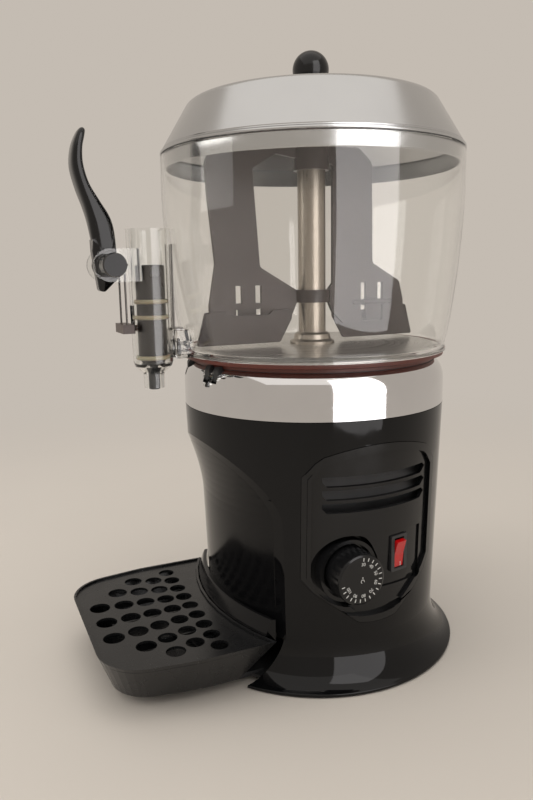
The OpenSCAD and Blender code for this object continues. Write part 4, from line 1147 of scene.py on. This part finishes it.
@dataclass
class Studio:
    """The floor, the lamps and the camera."""

    camera_at: tuple[float, float, float] = (633.5, -329.8, 373.5)
    turn: float = 62.5
    yaw: float = 0.0652
    pitch: float = 0.1824
    roll: float = -0.0173
    lens: float = 32.2
    floor_colour: Colour = (0.620, 0.566, 0.505)
    backdrop: Colour = (0.552, 0.501, 0.445)
    floor_fade: tuple[float, float] = (0.3, 1.5)

    def build_camera(self) -> None:
        """Places the camera where the photograph was taken from."""
        spin = Matrix.Rotation(math.radians(self.turn), 3, "Z")
        ahead = spin @ Vector((-math.sin(self.yaw) * math.cos(self.pitch),
                               math.cos(self.yaw) * math.cos(self.pitch), -math.sin(self.pitch)))
        right = ahead.cross(Vector((0, 0, 1))).normalized()
        up = right.cross(ahead)
        right_r = right * math.cos(self.roll) + up * math.sin(self.roll)
        up_r = -right * math.sin(self.roll) + up * math.cos(self.roll)
        data = bpy.data.cameras.new("camera")
        data.lens = self.lens
        data.sensor_width = 36.0
        data.clip_start = 0.01
        camera = bpy.data.objects.new("camera", data)
        bpy.context.scene.collection.objects.link(camera)
        place = Matrix((right_r, up_r, -ahead)).transposed().to_4x4()
        place.translation = Vector(self.camera_at) * MM
        camera.matrix_world = place
        bpy.context.scene.camera = camera

    def build_floor(self) -> None:
        """Lays a wide plain floor that fades into the backdrop's colour."""
        work = bmesh.new()
        bmesh.ops.create_circle(work, cap_ends=True, segments=96, radius=14.0)
        mesh = bpy.data.meshes.new("floor")
        work.to_mesh(mesh)
        work.free()
        floor = bpy.data.objects.new("floor", mesh)
        bpy.context.scene.collection.objects.link(floor)
        graph = Graph("floor_paper")
        soft = graph.noise(graph.place(), 3.0, 2.0)
        pale = tuple(c * 1.03 for c in self.floor_colour)
        paper = graph.tint(graph.span(soft, 0, 1), self.floor_colour, pale)
        graph.link(paper, graph.shader.inputs["Base Color"])
        graph.shader.inputs["Roughness"].default_value = 0.75
        glow = graph.node("ShaderNodeEmission")
        glow.inputs[0].default_value = (*self.backdrop, 1)
        blend = graph.node("ShaderNodeMapRange", interpolation_type="SMOOTHSTEP")
        blend.inputs["From Min"].default_value, blend.inputs["From Max"].default_value = self.floor_fade
        graph.link(graph.distance_from_axis(), blend.inputs["Value"])
        mix = graph.node("ShaderNodeMixShader")
        graph.link(blend.outputs[0], mix.inputs[0])
        graph.link(graph.shader.outputs[0], mix.inputs[1])
        graph.link(glow.outputs[0], mix.inputs[2])
        graph.link(mix.outputs[0], graph.output.inputs["Surface"])
        mesh.materials.append(graph.material)

    def build_world(self) -> None:
        """Lights the scene softly all round, with a plain backdrop behind it."""
        world = bpy.data.worlds.new("studio")
        world.use_nodes = True
        tree = world.node_tree
        tree.nodes.clear()
        out = tree.nodes.new("ShaderNodeOutputWorld")
        mix = tree.nodes.new("ShaderNodeMixShader")
        soft = tree.nodes.new("ShaderNodeBackground")
        seen = tree.nodes.new("ShaderNodeBackground")
        soft.inputs[0].default_value = (1.0, 0.97, 0.93, 1)
        soft.inputs[1].default_value = 0.55
        seen.inputs[0].default_value = (*self.backdrop, 1)
        ray = tree.nodes.new("ShaderNodeLightPath")
        either = tree.nodes.new("ShaderNodeMath")
        either.operation = "MAXIMUM"
        through = tree.nodes.new("ShaderNodeMath")
        through.operation = "MAXIMUM"
        link = tree.links.new
        link(ray.outputs["Is Camera Ray"], either.inputs[0])
        link(ray.outputs["Is Glossy Ray"], either.inputs[1])
        link(either.outputs[0], through.inputs[0])
        link(ray.outputs["Is Transmission Ray"], through.inputs[1])
        link(through.outputs[0], mix.inputs[0])
        link(soft.outputs[0], mix.inputs[1])
        link(seen.outputs[0], mix.inputs[2])
        link(mix.outputs[0], out.inputs[0])
        bpy.context.scene.world = world

    def lamp(self, name: str, at: Sequence[float], size: tuple[float, float], power: float, colour: Colour,
             aim: float = 0.28) -> bpy.types.Object:
        """Hangs a soft rectangular lamp that faces the object.

        Args:
            name: The lamp's name.
            at: Where it hangs, in metres.
            size: Its width and height, in metres.
            power: Its power, in watts.
            colour: Its colour.
            aim: The height on the machine's axis that it faces, in metres.

        Returns:
            The lamp.
        """
        data = bpy.data.lights.new(name, "AREA")
        data.shape = "RECTANGLE"
        data.size, data.size_y = size
        data.energy = power
        data.color = colour
        lamp = bpy.data.objects.new(name, data)
        bpy.context.scene.collection.objects.link(lamp)
        lamp.location = at
        lamp.rotation_mode = "QUATERNION"
        lamp.rotation_quaternion = (Vector((0, 0, aim)) - Vector(at)).to_track_quat("-Z", "Y")
        return lamp

    def build(self) -> None:
        """Sets up the whole stage."""
        self.build_camera()
        self.build_floor()
        self.build_world()
        card = self.lamp("card", (0.885, 0.164, 0.7), (0.72, 1.4), 7.5, (1.0, 0.975, 0.985), 0.7)
        card.visible_diffuse = False
        self.lamp("ceiling", (0.5, -0.3, 2.1), (3.2, 3.2), 16.0, (1.0, 0.985, 0.965))
        bounce = self.lamp("bounce", (0.1, -0.1, 2.3), (2.6, 2.6), 15.0, (1.0, 0.985, 0.965))
        bounce.visible_glossy = False
        fill = self.lamp("fill", (-0.4, -2.2, 1.1), (1.4, 1.4), 12.0, (1.0, 0.98, 0.95))
        fill.visible_glossy = False
        bpy.context.scene.view_settings.view_transform = "Standard"


def main() -> None:
    """Builds the object's pieces in order, then its stage."""
    logging.basicConfig(level=logging.INFO, format="%(name)s: %(message)s")
    shop = Workshop()
    base = Base(shop)
    controls = Controls(shop)
    vessel = Vessel(shop)
    lid = Lid(shop)
    tap = Tap(shop)
    steps: list[Callable[[], None]] = [
        base.build_ring, base.build_foot, base.dress,
        controls.build_marks, controls.build_louvre_shade_plate, controls.build_switch_signs, controls.dress,
        vessel.build, vessel.dress, lid.build, lid.dress, tap.build_lever, tap.dress, Tray(shop).dress,
        Studio().build,
    ]
    for step in steps:
        step()


if __name__ == "__main__":
    main()
